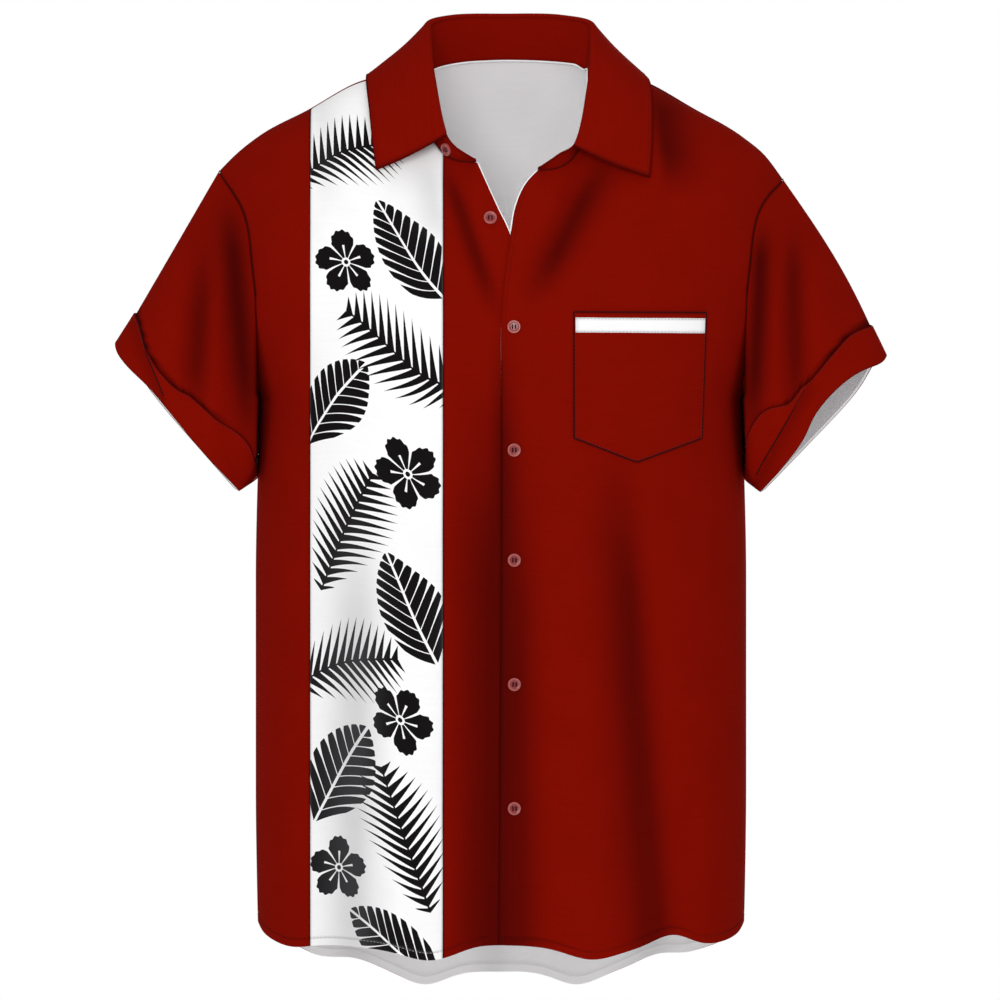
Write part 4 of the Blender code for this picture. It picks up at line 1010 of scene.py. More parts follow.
def sleeve_net(spec, armhole, share):
    """The sleeve between the armhole's loop (0) and its hem (1), with its folds. `share` has a
    row for each row and a column for each point of the loop."""
    net = armhole + share[..., None] * (sleeve_hem(spec) - armhole)
    depthwise = np.sin(ARM_ANGLE)
    full = np.sin(np.clip(share, 0, 1) * math.pi)       # fullest half way down
    net[..., 1] -= SLEEVE_BELLY * full * depthwise
    net[..., 0] += spec["sign"] * spec["swell"] * full * np.clip(-np.cos(ARM_ANGLE), 0, 1) ** 3
    # Behind its middle the inner wall draws in behind the body, so that no light comes between.
    behind = np.clip(net[..., 1], 0, 90) / (1.24 * BACK_DEPTH)
    drawn_in = (1 - np.sqrt(1 - behind**2)) * ease(-ARM_DEPTH - net[..., 2], -14, 6)
    length = np.linalg.norm(sleeve_hem(spec) - armhole, axis=-1)
    width = read(spec["cuff"], "angle", "width", np.degrees(ARM_ANGLE))
    off = read(INSIDE_ARM, "way", "off", share)
    under_cuff = ease((share - 1) * length + width, -4, 2)
    off = off + (SLEEVE_OFF - off) * under_cuff
    body = np.minimum(half_width(net[..., 2]), BODY_SIDE) * (1 - drawn_in) + off
    # Behind, the wall starts no further in than its seam, or it would fold over itself there.
    beside_seam = np.minimum(np.abs(armhole[:, 0]), ARMHOLE_SIDE) - 8.0 * share
    body = spec["sign"] * np.where(depthwise < 0, np.maximum(body, beside_seam), body)
    # Towards the hem the wall turns in to the body more sharply.
    narrow = ease(share, 0.62, 1.0)
    start = np.where(depthwise > 0, *INSIDE_TURN) * narrow
    end = np.where(depthwise > 0, 0.75 + 0.2 * narrow, 0.65)
    turned = np.clip((np.cos(ARM_ANGLE) - start) / (end - start), 0, 1)
    turned = turned + (ease(turned, 0, 1) - turned) * (1 - 0.7 * narrow)
    keeps = read(INSIDE_ARM, "way", "keeps", share) * turned
    net[..., 0] += (body - net[..., 0]) * keeps
    # The folds start below the armhole's seam and end above the cuff, and are lower behind.
    folds = fold_height(spec["folds"] + spec["creases"], net[..., 0], net[..., 2])
    shown = ease(share, 0.0, 0.18) * (1 - ease(share, 0.72, 0.95))
    net[..., 1] -= folds * shown * np.where(depthwise > 0, 1, -0.6) * np.abs(depthwise) ** 0.7
    return net


def alike(one, other):
    """1 where two edges that meet face the same way, 0 where the cloth doubles back."""
    return ease(np.sum(one * other, axis=-1, keepdims=True), -0.1, 0.5)


def shared_facing(one, other):
    """One direction for two edges that meet, and each its own where the cloth doubles back."""
    return unit(one + other * alike(one, other))


def beside_line(rows, x, z):
    """How far these places lie from a line of points in the front view, and to which side."""
    best, side_of = np.full(x.shape, 1e3), np.ones(x.shape)
    for a, b in zip(rows, rows[1:]):
        dx, dz = b["x"] - a["x"], b["z"] - a["z"]
        t = np.clip(((x - a["x"]) * dx + (z - a["z"]) * dz) / (dx * dx + dz * dz), 0, 1)
        away = np.hypot(x - a["x"] - t * dx, z - a["z"] - t * dz)
        side_here = np.sign((x - a["x"]) * dz - (z - a["z"]) * dx)
        side_of = np.where(away < best, side_here, side_of)
        best = np.minimum(away, best)
    return best, side_of


def sleeve_pieces(name, spec, armhole, armhole_facing, slots):
    """A sleeve and its turned-up cuff, whose lower edge curls under to the sleeve's own."""
    length = np.linalg.norm(sleeve_hem(spec) - armhole, axis=-1)
    width = read(spec["cuff"], "angle", "width", np.degrees(ARM_ANGLE))
    curl = (CUFF_OUT[1] + CLOTH) / 2                    # radius of the turned lower edge
    outside = np.exp(-((np.degrees(ARM_ANGLE) - 180) / 16) ** 2)
    end = 1 - (curl + CORNER_ROUNDING * outside) / length
    near = np.array(END_STEPS[::-1]) / SLEEVE_RUN
    rows = np.concatenate([near, np.linspace(near[-1], 1, ROWS_SLEEVE - len(near) + 1)[1:]])
    net = sleeve_net(spec, armhole, rows[:, None] * (end - SLEEVE_END_GAP / length))
    seen = net_facing(net, True) * -spec["sign"]
    depth = SEAM_DEPTH * alike(seen[0], armhole_facing)[:, 0]
    seen[0] = shared_facing(seen[0], armhole_facing)
    points = dipped(eased_back(net, SEAM_GAP, "foot"), seen, {"foot": depth})
    hollows = in_hollows(spec["hollows"], net[..., 0], net[..., 2])
    shade = both(hollows, shade_along_edges(points, {"foot": SEAM_TONE}))
    # The cuff shades the sleeve beside its upper edge.
    above_cuff = np.maximum(from_edge(points, "top") - width + 2.0, 0)
    shade = both(shade, 0.85 * np.exp(-((above_cuff / 2.2) ** 2)))
    sleeve = add_shell(
        f"cloth_sleeve_{name}", points, seen, CLOTH, slots, shade, is_round=True,
        pale_edges=("top",),
    )

    near = np.array([0, 0.4, 1.0, 2.0]) / CUFF_RUN
    down = np.concatenate([near, np.linspace(near[-1], 1, ROWS_CUFF - len(near) + 1)[1:]])[:, None]
    share = 1 - width / length + (end - 1 + width / length) * down
    band = sleeve_net(spec, armhole, share)
    band_facing = net_facing(band, True) * -spec["sign"]
    off = CUFF_OUT[0] + (CUFF_OUT[1] - CUFF_OUT[0]) * down
    off = off - 0.35 * np.exp(-down * width / 0.5)      # its upper edge is pressed in
    bend = np.linspace(0, math.pi, CURL_STEPS + 1)[1:, None]
    under = sleeve_net(spec, armhole, end + curl * np.sin(bend) / length)
    under_off = CUFF_OUT[1] - curl + curl * np.cos(bend)
    cuff = np.concatenate([
        band + band_facing * off[..., None], under + band_facing[-1] * under_off[..., None],
    ])
    cuff_seen = net_facing(cuff, True) * -spec["sign"]
    pale = range(len(band) + CURL_STEPS // 2, len(cuff))
    # A painted shade line along the cuff's folded lower edge.
    shade_at_fold = 0.45 * np.exp(-(((from_edge(cuff, "top") - curl * 1.8) / EDGE_LINE) ** 2))
    shade = both(shade_along_edges(cuff, {"foot": SEAM_TONE}), shade_at_fold)
    # In front, shade is painted a little deeper on the cuff on one side of its crease.
    away, side_of = beside_line(spec["cuff_crease"], cuff[..., 0], cuff[..., 2])
    in_front = cuff[..., 1] < spec["middle_y"] - 8
    fades = np.exp(-((away / 9.0) ** 2)) * ease(away, 0, 1)
    shade = both(shade, np.where(in_front & (side_of == spec["crease_side"]), 0.28 * fades, 0))
    turned_up = add_shell(
        f"cloth_cuff_{name}", cuff, cuff_seen, CUFF_CLOTH, slots, shade, is_round=True,
        pale_rows=pale, pale_edges=("top",),
    )
    return (sleeve, (points, seen)), (turned_up, (cuff[:len(band)], cuff_seen[:len(band)]))


# ---------------------------------------------------------------- collar

def ways(line):
    """The share of the line's length at each of its points."""
    run = np.concatenate([[0], np.cumsum(np.linalg.norm(np.diff(line, axis=0), axis=-1))])
    return run / run[-1]


def neck_loop(nets, back):
    """The neck seam from the wearer's right front edge round the nape to the left one, in even
    steps."""
    centre, insert, upper = nets["centre"], nets["insert"], nets["upper"]
    chest = ROWS_BODY + ROWS_CHEST
    nape = back[-1, NAPE_COLUMNS]
    loop = np.concatenate([
        form(FRONT, centre[-1, ::-1, 0], centre[-1, ::-1, 1]),
        form(FRONT, insert[chest + 1:, -1, 0], insert[chest + 1:, -1, 1]),
        form(BACK, nape[:, 0], nape[:, 1]),
        form(FRONT, upper[chest:, 0, 0][::-1], upper[chest:, 0, 1][::-1]),
    ])
    run = ways(loop)
    even = np.linspace(0, 1, COLUMNS_COLLAR + 1)
    return np.stack([np.interp(even, run, loop[:, k]) for k in range(3)], axis=-1)


def stand_top(way):
    return np.stack([read(STAND_TOP, "way", axis, way) for axis in "xyz"], axis=-1)


def add_stand(loop, slots):
    """The collar's stand, on the neck seam."""
    top = stand_top(ways(loop))
    share = np.linspace(0, 1, ROWS_STAND + 1)[:, None, None]
    net = eased_back((1 - share) * loop[None] + share * top[None], 2 * SEAM_GAP, "foot")
    seen = -net_facing(net, False)
    points = dipped(net, seen, {"left": 0.4, "right": 0.4})
    shade = shade_along_edges(points, {"foot": 0.7, "left": 0.6, "right": 0.6, "top": 0.5})
    piece = add_shell("cloth_collar_stand", points, seen, COLLAR_CLOTH, slots, shade)
    return piece, (points, seen)


def leaf_edge(way):
    """The outer edge of the leaf."""
    return np.stack([read(LEAF_EDGE, "way", axis, way) for axis in "xyz"], axis=-1)


def resting(points, clearance):
    """The points, moved out of the shirt's body where they come nearer than the clearance."""
    turn, level = np.meshgrid(np.linspace(-90, 90, 181), np.linspace(-200, 0, 91))
    surface = np.concatenate([form(side, turn, level).reshape(-1, 3) for side in (FRONT, BACK)])
    out = np.concatenate([facing(side, turn, level).reshape(-1, 3) for side in (FRONT, BACK)])
    flat = points.reshape(-1, 3)
    push = np.zeros(len(flat))
    way_out = np.zeros_like(flat)
    for i, point in enumerate(flat):
        nearest = np.argmin(np.sum((surface - point) ** 2, axis=-1))
        push[i] = clearance - np.dot(point - surface[nearest], out[nearest])
        way_out[i] = out[nearest]
    push = np.maximum(push, 0).reshape(points.shape[:-1])
    return points + unit(way_out).reshape(points.shape) * push[..., None]


def smoothed(net, times):
    """The net with its inner points drawn towards their neighbours."""
    for _ in range(times):
        middle = (net[:-2, 1:-1] + net[2:, 1:-1] + net[1:-1, :-2] + net[1:-1, 2:]) / 4
        net[1:-1, 1:-1] += 0.5 * (middle - net[1:-1, 1:-1])
    return net


def add_leaf(loop, stand_facing, slots):
    """The collar's leaf, which turns over above the stand and falls outwards."""
    all_ways = ways(loop)
    count = round(COLUMNS_COLLAR * (LEAF_END - LEAF_START) * 1.35)
    way = np.linspace(LEAF_START, LEAF_END, count + 1)

    def along(line):
        return np.stack([np.interp(way, all_ways, line[:, k]) for k in range(3)], axis=-1)

    foot, top = along(loop), along(stand_top(all_ways))
    edge = resting(leaf_edge(way), LEAF_REST)
    for _ in range(24):         # the edge stays one even curve where it was moved
        edge[1:-1] += 0.25 * (edge[:-2] + edge[2:] - 2 * edge[1:-1])
    up = unit(top - foot)
    start = top + up * 2 * SEAM_GAP - along(stand_facing) * CAD_COLLAR
    fall = unit(edge - start)
    out = unit(fall - up * np.sum(fall * up, axis=-1, keepdims=True))
    bend = np.arccos(np.clip(np.sum(fall * up, axis=-1), -1, 1))[:, None]
    rows = []
    for step in range(FOLD_STEPS + 1):
        angle = bend * step / FOLD_STEPS
        rows.append(start + LEAF_FOLD * (out * (1 - np.cos(angle)) + up * np.sin(angle)))
    last = rows[-1]
    run = np.concatenate([np.linspace(0, 1, FALL_STEPS - 2)[1:-1], [0.955, 0.975, 0.99, 1.0]])
    flat_out = unit(np.cross(np.gradient(edge, axis=0), fall))
    for share in run:
        rows.append(last + (edge - last) * share + flat_out * (LEAF_BOW * math.sin(math.pi * share)))
    net = np.array(rows)
    fallen = np.concatenate([np.zeros(FOLD_STEPS + 1), run])[:, None, None]
    for end, towards in ((0, -1), (-1, 1)):
        # The bulge fades out over 0.07 of the neck seam from each end.
        share = np.clip(1 - np.abs(way - way[end]) / 0.07, 0, 1)[None, :, None] ** 2
        forward = unit(net[:, end] - net[:, end - towards])[:, None]
        net = net + forward * share * np.sin(math.pi * fallen) * LEAF_BULGE
    low = FOLD_STEPS + 4
    net[low:] = resting(net[low:], LEAF_REST)
    net[FOLD_STEPS:] = smoothed(net[FOLD_STEPS:], 6)
    seen = net_facing(net, False)
    points = dipped(net, seen, {"top": 0.5, "left": 0.5, "right": 0.5})
    shade = shade_along_edges(points, {"top": EDGE_TONE, "left": EDGE_TONE, "right": EDGE_TONE})
    piece = add_shell("cloth_collar_leaf", points, seen, COLLAR_CLOTH, slots, shade)
    return piece, (points, seen)



# ---------------------------------------------------------------- pocket

def add_pocket(slots, trim_slots):
    """A patch pocket with a pointed foot, and the white trim along its mouth."""
    def patch(name, left, right, top, foot, lift, thick, finishes, u, rows, bulge):
        """Cloth laid on the front between two sides, a foot and a level top. `u` gives the
        shares of its columns."""
        v = np.linspace(0, 1, rows + 1)
        v = np.concatenate([[0, 0.004, 0.01, 0.022], v[1:-1], [0.978, 0.99, 0.996, 1]])[:, None]
        z = top + (foot(left(0) + u * (right(0) - left(0))) - top) * (1 - v)
        down = (POCKET_TOP - z) / (POCKET_TOP - POCKET_CORNER)
        x = left(down) + u * (right(down) - left(down))
        turn, level = place(x, z)
        seen = facing(FRONT, turn, level)
        swell = bulge * (np.clip(np.sin(math.pi * u), 0, 1) ** 0.6)
        swell = swell * read(POCKET_BULGE, "down", "out", down)
        points = form(FRONT, turn, level) + seen * (lift + thick + swell)[..., None]
        dips = {"foot": 0.45, "left": 0.45, "right": 0.45, "top": 0.15}
        points = dipped(points, seen, dips if bulge else {"foot": 0.1, "top": 0.1})
        tone = EDGE_TONE if bulge else 0.25
        shade = shade_along_edges(points, {side: tone for side in dips})
        return add_shell(name, points, seen, thick, finishes, shade), (points, seen)

    def left(down):
        return POCKET_LEFT + 0 * down

    def right(down):
        return POCKET_RIGHT + (POCKET_RIGHT_FOOT - POCKET_RIGHT) * np.minimum(down, 1)

    def pointed(x):
        share = np.where(
            x < POCKET_POINT_X,
            (x - POCKET_LEFT) / (POCKET_POINT_X - POCKET_LEFT),
            (POCKET_RIGHT - x) / (POCKET_RIGHT - POCKET_POINT_X),
        )
        return POCKET_CORNER + (POCKET_POINT - POCKET_CORNER) * share

    pocket = patch(
        "cloth_pocket", left, right, POCKET_TOP, pointed, POCKET_LIFT, CLOTH, slots,
        across(POCKET_RUN)[None, :], 30, 1.0,
    )
    trim = patch(
        "cloth_pocket_trim",
        lambda down: left(down) + TRIM_INSET, lambda down: right(down) - TRIM_INSET,
        TRIM_TOP, lambda x: TRIM_FOOT + 0 * x, POCKET_LIFT + CLOTH + 0.1, TRIM_CLOTH, trim_slots,
        np.linspace(0, 1, 29)[None, :], 4, 0.0,
    )
    return pocket, trim


# ---------------------------------------------------------------- buttons

def turned_button():
    """A round button, dished in the middle, with a rounded rim and four holes."""
    bpy.ops.object.select_all(action="DESELECT")
    bpy.ops.mesh.primitive_cylinder_add(
        vertices=48, radius=BUTTON_RADIUS * MM, depth=BUTTON_HEIGHT * MM,
        location=(0, 0, BUTTON_HEIGHT / 2 * MM),
    )
    blank = bpy.context.object
    bpy.ops.object.mode_set(mode="EDIT")
    bpy.ops.mesh.select_mode(type="FACE")
    bpy.ops.mesh.select_all(action="DESELECT")
    shape = bmesh.from_edit_mesh(blank.data)
    for face in shape.faces:
        face.select = face.normal.z > 0.9
    bmesh.update_edit_mesh(blank.data)
    bpy.ops.mesh.inset(thickness=BUTTON_RIM * MM)
    bpy.ops.mesh.inset(thickness=BUTTON_SLOPE * MM)
    bpy.ops.transform.translate(value=(0, 0, -BUTTON_DISH * MM))
    bpy.ops.object.mode_set(mode="OBJECT")
    bevel = blank.modifiers.new("rounded", "BEVEL")
    bevel.width, bevel.segments = BUTTON_ROUNDING * MM, 3
    bevel.limit_method, bevel.angle_limit = "ANGLE", math.radians(25)
    bpy.ops.object.modifier_apply(modifier=bevel.name)
    drills = []
    for x in (-HOLE_SPREAD, HOLE_SPREAD):
        for y in (-HOLE_SPREAD, HOLE_SPREAD):
            bpy.ops.mesh.primitive_cylinder_add(
                vertices=16, radius=HOLE_RADIUS * MM, depth=4 * BUTTON_HEIGHT * MM,
                location=(x * MM, y * MM, 0),
            )
            drills.append(bpy.context.object)
    bpy.context.view_layer.objects.active = blank
    for drill in drills:
        cut = blank.modifiers.new("hole", "BOOLEAN")
        cut.operation, cut.object = "DIFFERENCE", drill
        bpy.ops.object.modifier_apply(modifier=cut.name)
    for drill in drills:
        bpy.data.objects.remove(drill)
    mesh = blank.data
    while mesh.uv_layers:
        mesh.uv_layers.remove(mesh.uv_layers[0])
    flat = mesh.uv_layers.new(name="face")
    for loop in mesh.loops:
        corner = mesh.vertices[loop.vertex_index].co
        flat.data[loop.index].uv = (corner.x, corner.y)
    mesh.shade_smooth()
    mesh.set_sharp_from_angle(angle=math.radians(35))
    return blank


def add_button(name, blank, point, faces_out, finish, thread):
    """A button a little clear of the cloth at this point, on its thread."""
    x, y, z = faces_out
    turn = Matrix.Rotation(math.atan2(x, -y), 4, "Z") @ Matrix.Rotation(math.acos(z), 4, "X")
    put = Matrix.Translation(Vector(point + faces_out * BUTTON_LIFT) * MM) @ turn
    mesh = blank.data.copy()
    mesh.transform(put)
    mesh.materials.clear()
    mesh.materials.append(finish)
    button = bpy.data.objects.new(f"resin_{name}", mesh)
    bpy.context.scene.collection.objects.link(button)
    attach(button, "root")
    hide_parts(name)

    # Two threads over each pair of holes, and four that run down to the cloth.
    low, high = -BUTTON_LIFT + 0.1, BUTTON_HEIGHT - BUTTON_DISH
    over = high + 0.2
    ends = []
    for x in (-HOLE_SPREAD, HOLE_SPREAD):
        for shift in (-0.25, 0.25):
            ends.append([(x + shift, -HOLE_SPREAD, over), (x + shift, HOLE_SPREAD, over)])
    for x in (-0.8, 0.8):
        for y in (-0.8, 0.8):
            ends.append([(x, y, low), (x * 1.5, y * 1.5, high)])
    threads = [[np.array(put @ (Vector(end) * MM)) / MM for end in pair] for pair in ends]
    add_threads(
        f"thread_{name}", [(a, b, faces_out) for a, b in threads], BUTTON_THREAD, thread,
    )


def place_buttons(stand, finish, thread):
    blank = turned_button()
    for number, height in enumerate(UPPER_BUTTONS, start=2):
        turn, level = place(np.array(BUTTON_LINE), np.array(height))
        point, out = form(FRONT, turn, level), facing(FRONT, turn, level)
        add_button(f"button_{number}", blank, point, out, finish, thread)
    turn, level = place(*[np.array(c) for c in UNDER_BUTTON])
    point, out = form(FRONT, turn, level), facing(FRONT, turn, level)
    add_button("button_1", blank, point - out * sunk_at(point[0]), out, finish, thread)
    points, seen = stand
    way, up = STAND_BUTTON
    all_ways = ways(points[0])

    def at(net):
        low, high = [
            np.array([np.interp(way, all_ways, net[row, :, k]) for k in range(3)]) for row in (0, -1)
        ]
        return low + (high - low) * up

    add_button("button_collar", blank, at(points), unit(at(seen)), finish, thread)
    bpy.data.objects.remove(blank)


# ---------------------------------------------------------------- sewing

def add_sewing(name, points, faces, finish):
    """A piece of threads or cords from its points and faces."""
    mesh = bpy.data.meshes.new(name)
    mesh.from_pydata((np.array(points) * MM).tolist(), [], faces)
    mesh.shade_smooth()
    mesh.materials.append(finish)
    piece = bpy.data.objects.new(name, mesh)
    bpy.context.scene.collection.objects.link(piece)
    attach(piece, "root")


def add_threads(name, runs, width, finish):
    """Short lengths of thread as one piece. Each runs between two points, thickest at its middle
    and pointed at its ends, and lies on a surface with the facing given."""
    points, faces = [], []
    for start, end, seen in runs:
        along = unit(end - start)
        sideways = unit(np.cross(along, seen))
        over = np.cross(sideways, along)
        base = len(points)
        points.append(start)
        for share in (0.22, 0.78):
            middle = start + (end - start) * share
            for k in range(4):
                angle = math.pi / 2 * k
                out = sideways * math.cos(angle) + over * math.sin(angle)
                points.append(middle + width / 2 * out)
        points.append(end)
        for k in range(4):
            n = (k + 1) % 4
            faces.append([base, base + 1 + n, base + 1 + k])
            faces.append([base + 1 + k, base + 1 + n, base + 5 + n, base + 5 + k])
            faces.append([base + 9, base + 5 + k, base + 5 + n])
    add_sewing(name, points, faces, finish)


def add_cords(name, lines, radius, finish):
    """Fine cords that lie along lines on the cloth, each a tube with six sides."""
    points, faces = [], []
    for line, seen in lines:
        along = unit(np.gradient(line, axis=0))
        sideways = unit(np.cross(along, seen))
        over = np.cross(sideways, along)
        for i, at in enumerate(line):
            base = len(points)
            for k in range(6):
                angle = math.pi / 3 * k
                out = sideways[i] * math.cos(angle) + over[i] * math.sin(angle)
                points.append(at + radius * out)
                n = (k + 1) % 6
                if i:
                    faces.append([base - 6 + k, base - 6 + n, base + n, base + k])
    add_sewing(name, points, faces, finish)


def edge_of(panel, part):
    """A line of a panel's own points, with their facing."""
    return [np.array(of[part]) for of in panel]


def over_cuff(cuff, rows):
    """A line over the front of a cuff, through points given as seen from the front."""
    points, seen = [of.reshape(-1, 3) for of in cuff]
    front = seen[:, 1] < 0
    points, seen = points[front], seen[front]
    run = np.concatenate([[0], np.cumsum([
        math.hypot(b["x"] - a["x"], b["z"] - a["z"]) for a, b in zip(rows, rows[1:])
    ])])
    line, out = [], []
    for at in np.arange(0, run[-1], 1.0):
        x = np.interp(at, run, [row["x"] for row in rows])
        z = np.interp(at, run, [row["z"] for row in rows])
        near = np.exp(-((points[:, 0] - x) ** 2 + (points[:, 2] - z) ** 2) / 8.0)
        line.append([x, np.sum(near * points[:, 1]) / near.sum(), z])
        out.append(np.sum(near[:, None] * seen, axis=0) / near.sum())
    return np.array(line), unit(np.array(out))


def beside(panel, side, distance, part=np.s_[:]):
    """The line on a panel's face at this distance from one of its sides, with its facing."""
    points, seen = panel
    away = from_edge(points, side)
    if side in ("foot", "top"):
        away, points, seen = away.T, points.transpose(1, 0, 2), seen.transpose(1, 0, 2)
    flip = -1 if side in ("top", "right") else 1
    lines = []
    for source in (points, seen):
        lines.append(np.array([
            [np.interp(distance, away[i, ::flip], source[i, ::flip, k]) for k in range(3)]
            for i in range(len(away))
        ])[part])
    return lines


def sewn(name, lines, finish):
    """Rows of stitches along lines on the cloth."""
    runs = []
    reach = STITCH_LENGTH / STITCH_PITCH / 2
    for points, seen in lines:
        way = ways(points)
        total = np.sum(np.linalg.norm(np.diff(points, axis=0), axis=-1))
        count = max(int(total / STITCH_PITCH), 1)
        for k in range(count):
            here = [(k + 0.5 - reach) / count, (k + 0.5 + reach) / count]
            start, end = np.stack([np.interp(here, way, points[:, i]) for i in range(3)], axis=-1)
            out = unit(np.array([np.interp(np.mean(here), way, seen[:, i]) for i in range(3)]))
            runs.append((start + out * STITCH_PROUD, end + out * STITCH_PROUD, out))
    add_threads(name, runs, STITCH_WIDTH, finish)


# ---------------------------------------------------------------- materials

WEAVE_PITCH = 1.7           # how wide a yarn is drawn
WAVE_PERIOD = 0.314         # a wave texture at a scale of 1 has a band every 0.314 m
INK = "#151314"


def node(tree, kind, links=None, **settings):
    """A shader node with its settings, and with its inputs linked or set."""
    made = tree.nodes.new("ShaderNode" + kind)
    for name, value in settings.items():
        setattr(made, name, value)
    for socket, value in (links or {}).items():
        if isinstance(value, bpy.types.NodeSocket):
            tree.links.new(value, made.inputs[socket])
        else:
            made.inputs[socket].default_value = value
    return made


def linear(colour):
    """An sRGB hex colour as linear values."""
    parts = [int(colour[i:i + 2], 16) / 255 for i in (1, 3, 5)]
    return tuple(c / 12.92 if c <= 0.04045 else ((c + 0.055) / 1.055) ** 2.4 for c in parts) + (1.0,)


def new_material(name):
    made = bpy.data.materials.new(name)
    made.use_nodes = True
    return made, made.node_tree, made.node_tree.nodes["Principled BSDF"]


# How much of each motif's place is inked, in steps of arithmetic on its own x and y, which run
# from -0.5 to 0.5: the name of each result, the operation and its inputs.
STEPS = {
    # A palm frond: pointed leaflets that leave the stem upwards.
    "frond": [
        ("a", "ABSOLUTE", "x"), ("lean", "MULTIPLY", "a", 0.62), ("up", "ADD", "y", 0.5),
        ("s", "SUBTRACT", "up", "lean"), ("turn", "MULTIPLY_ADD", "s", 2.75, 0.28),
        ("swell", "SINE", "turn"), ("kept", "MAXIMUM", "swell", 0.001),
        ("round", "POWER", "kept", 0.7),
        ("reach", "MULTIPLY", "round", 0.36), ("r", "DIVIDE", "a", "reach"),
        ("wave", "PINGPONG", "s", 0.036), ("leaflet", "DIVIDE", "wave", 0.036),
        ("bound", "MULTIPLY_ADD", "r", 0.95, 0.13), ("leaf", "GREATER_THAN", "leaflet", "bound"),
        ("stem", "LESS_THAN", "a", 0.008), ("low", "GREATER_THAN", "s", -0.04),
        ("high", "LESS_THAN", "s", 1.0), ("both", "MAXIMUM", "leaf", "stem"),
        ("cut", "MULTIPLY", "both", "low"), ("ink", "MULTIPLY", "cut", "high"),
    ],
    # A broad leaf, torn between its veins, with its midrib and veins left white.
    "broad": [
        ("a", "ABSOLUTE", "x"), ("up", "ADD", "y", 0.5), ("turn", "MULTIPLY", "up", 3.1416),
        ("swell", "SINE", "turn"), ("kept", "MAXIMUM", "swell", 0.001),
        ("round", "POWER", "kept", 0.75),
        ("reach", "MULTIPLY", "round", 0.30), ("r", "DIVIDE", "a", "reach"),
        ("inside", "LESS_THAN", "r", 1.0), ("lean", "MULTIPLY", "a", 0.9),
        ("s", "SUBTRACT", "up", "lean"),
        ("wave", "PINGPONG", "s", 0.055), ("vein", "DIVIDE", "wave", 0.055),
        ("r2", "MULTIPLY", "r", "r"), ("r4", "MULTIPLY", "r2", "r2"),
        ("torn", "MULTIPLY_ADD", "r4", 0.38, 0.09),
        ("blade", "GREATER_THAN", "vein", "torn"), ("rib", "GREATER_THAN", "a", 0.012),
        ("within", "GREATER_THAN", "up", 0.0), ("below", "LESS_THAN", "up", 1.0),
        ("one", "MULTIPLY", "inside", "blade"), ("two", "MULTIPLY", "one", "rib"),
        ("three", "MULTIPLY", "two", "within"), ("ink", "MULTIPLY", "three", "below"),
    ],
    # An open flower of five petals, with a white eye and white lines up the petals.
    "flower": [
        ("xx", "MULTIPLY", "x", "x"), ("rr", "MULTIPLY_ADD", "y", "y", "xx"), ("r", "SQRT", "rr"),
        ("round", "ARCTAN2", "x", "y"), ("turn", "MULTIPLY", "round", 2.5),
        ("wave", "COSINE", "turn"), ("petal", "ABSOLUTE", "wave"), ("full", "POWER", "petal", 0.55),
        ("rim", "MULTIPLY_ADD", "full", 0.26, 0.23), ("ruffle", "MULTIPLY", "round", 30.0),
        ("edge", "SINE", "ruffle"), ("rim2", "MULTIPLY_ADD", "edge", 0.012, "rim"),
        ("inside", "LESS_THAN", "r", "rim2"), ("gap", "GREATER_THAN", "petal", 0.15),
        ("eye", "GREATER_THAN", "r", 0.07), ("line", "LESS_THAN", "petal", 0.985),
        ("short", "GREATER_THAN", "r", 0.26), ("open", "MAXIMUM", "line", "short"),
        ("one", "MULTIPLY", "inside", "gap"), ("two", "MULTIPLY", "one", "eye"),
        ("three", "MULTIPLY", "two", "open"), ("dot", "LESS_THAN", "r", 0.035),
        ("ink", "MAXIMUM", "three", "dot"),
    ],
}


def printed(tree):
    """Where the white cloth is inked, with a tropical print of plain black motifs."""
    uv = node(tree, "UVMap", uv_map="cloth").outputs[0]
    total = 0.0
    for motif in MOTIFS:
        at = ((motif["across"] - PRINT_ZERO[0]) * MM, (motif["height"] - PRINT_ZERO[1]) * MM, 0)
        size = motif["size"] * MM
        local = node(tree, "Mapping", {
            "Vector": uv, "Location": at, "Rotation": (0, 0, math.radians(motif["turn"])),
            "Scale": (size, size, size),
        }, vector_type="TEXTURE")
        parts = node(tree, "SeparateXYZ", {0: local.outputs[0]})
        made = {"x": parts.outputs[0], "y": parts.outputs[1]}
        for name, operation, *inputs in STEPS[motif["kind"]]:
            values = {i: made.get(value, value) for i, value in enumerate(inputs)}
            made[name] = node(tree, "Math", values, operation=operation).outputs[0]
        # Motifs that meet run into one another, as inks of one colour do.
        total = node(tree, "Math", {0: total, 1: made["ink"]}, operation="MAXIMUM").outputs[0]
    return total


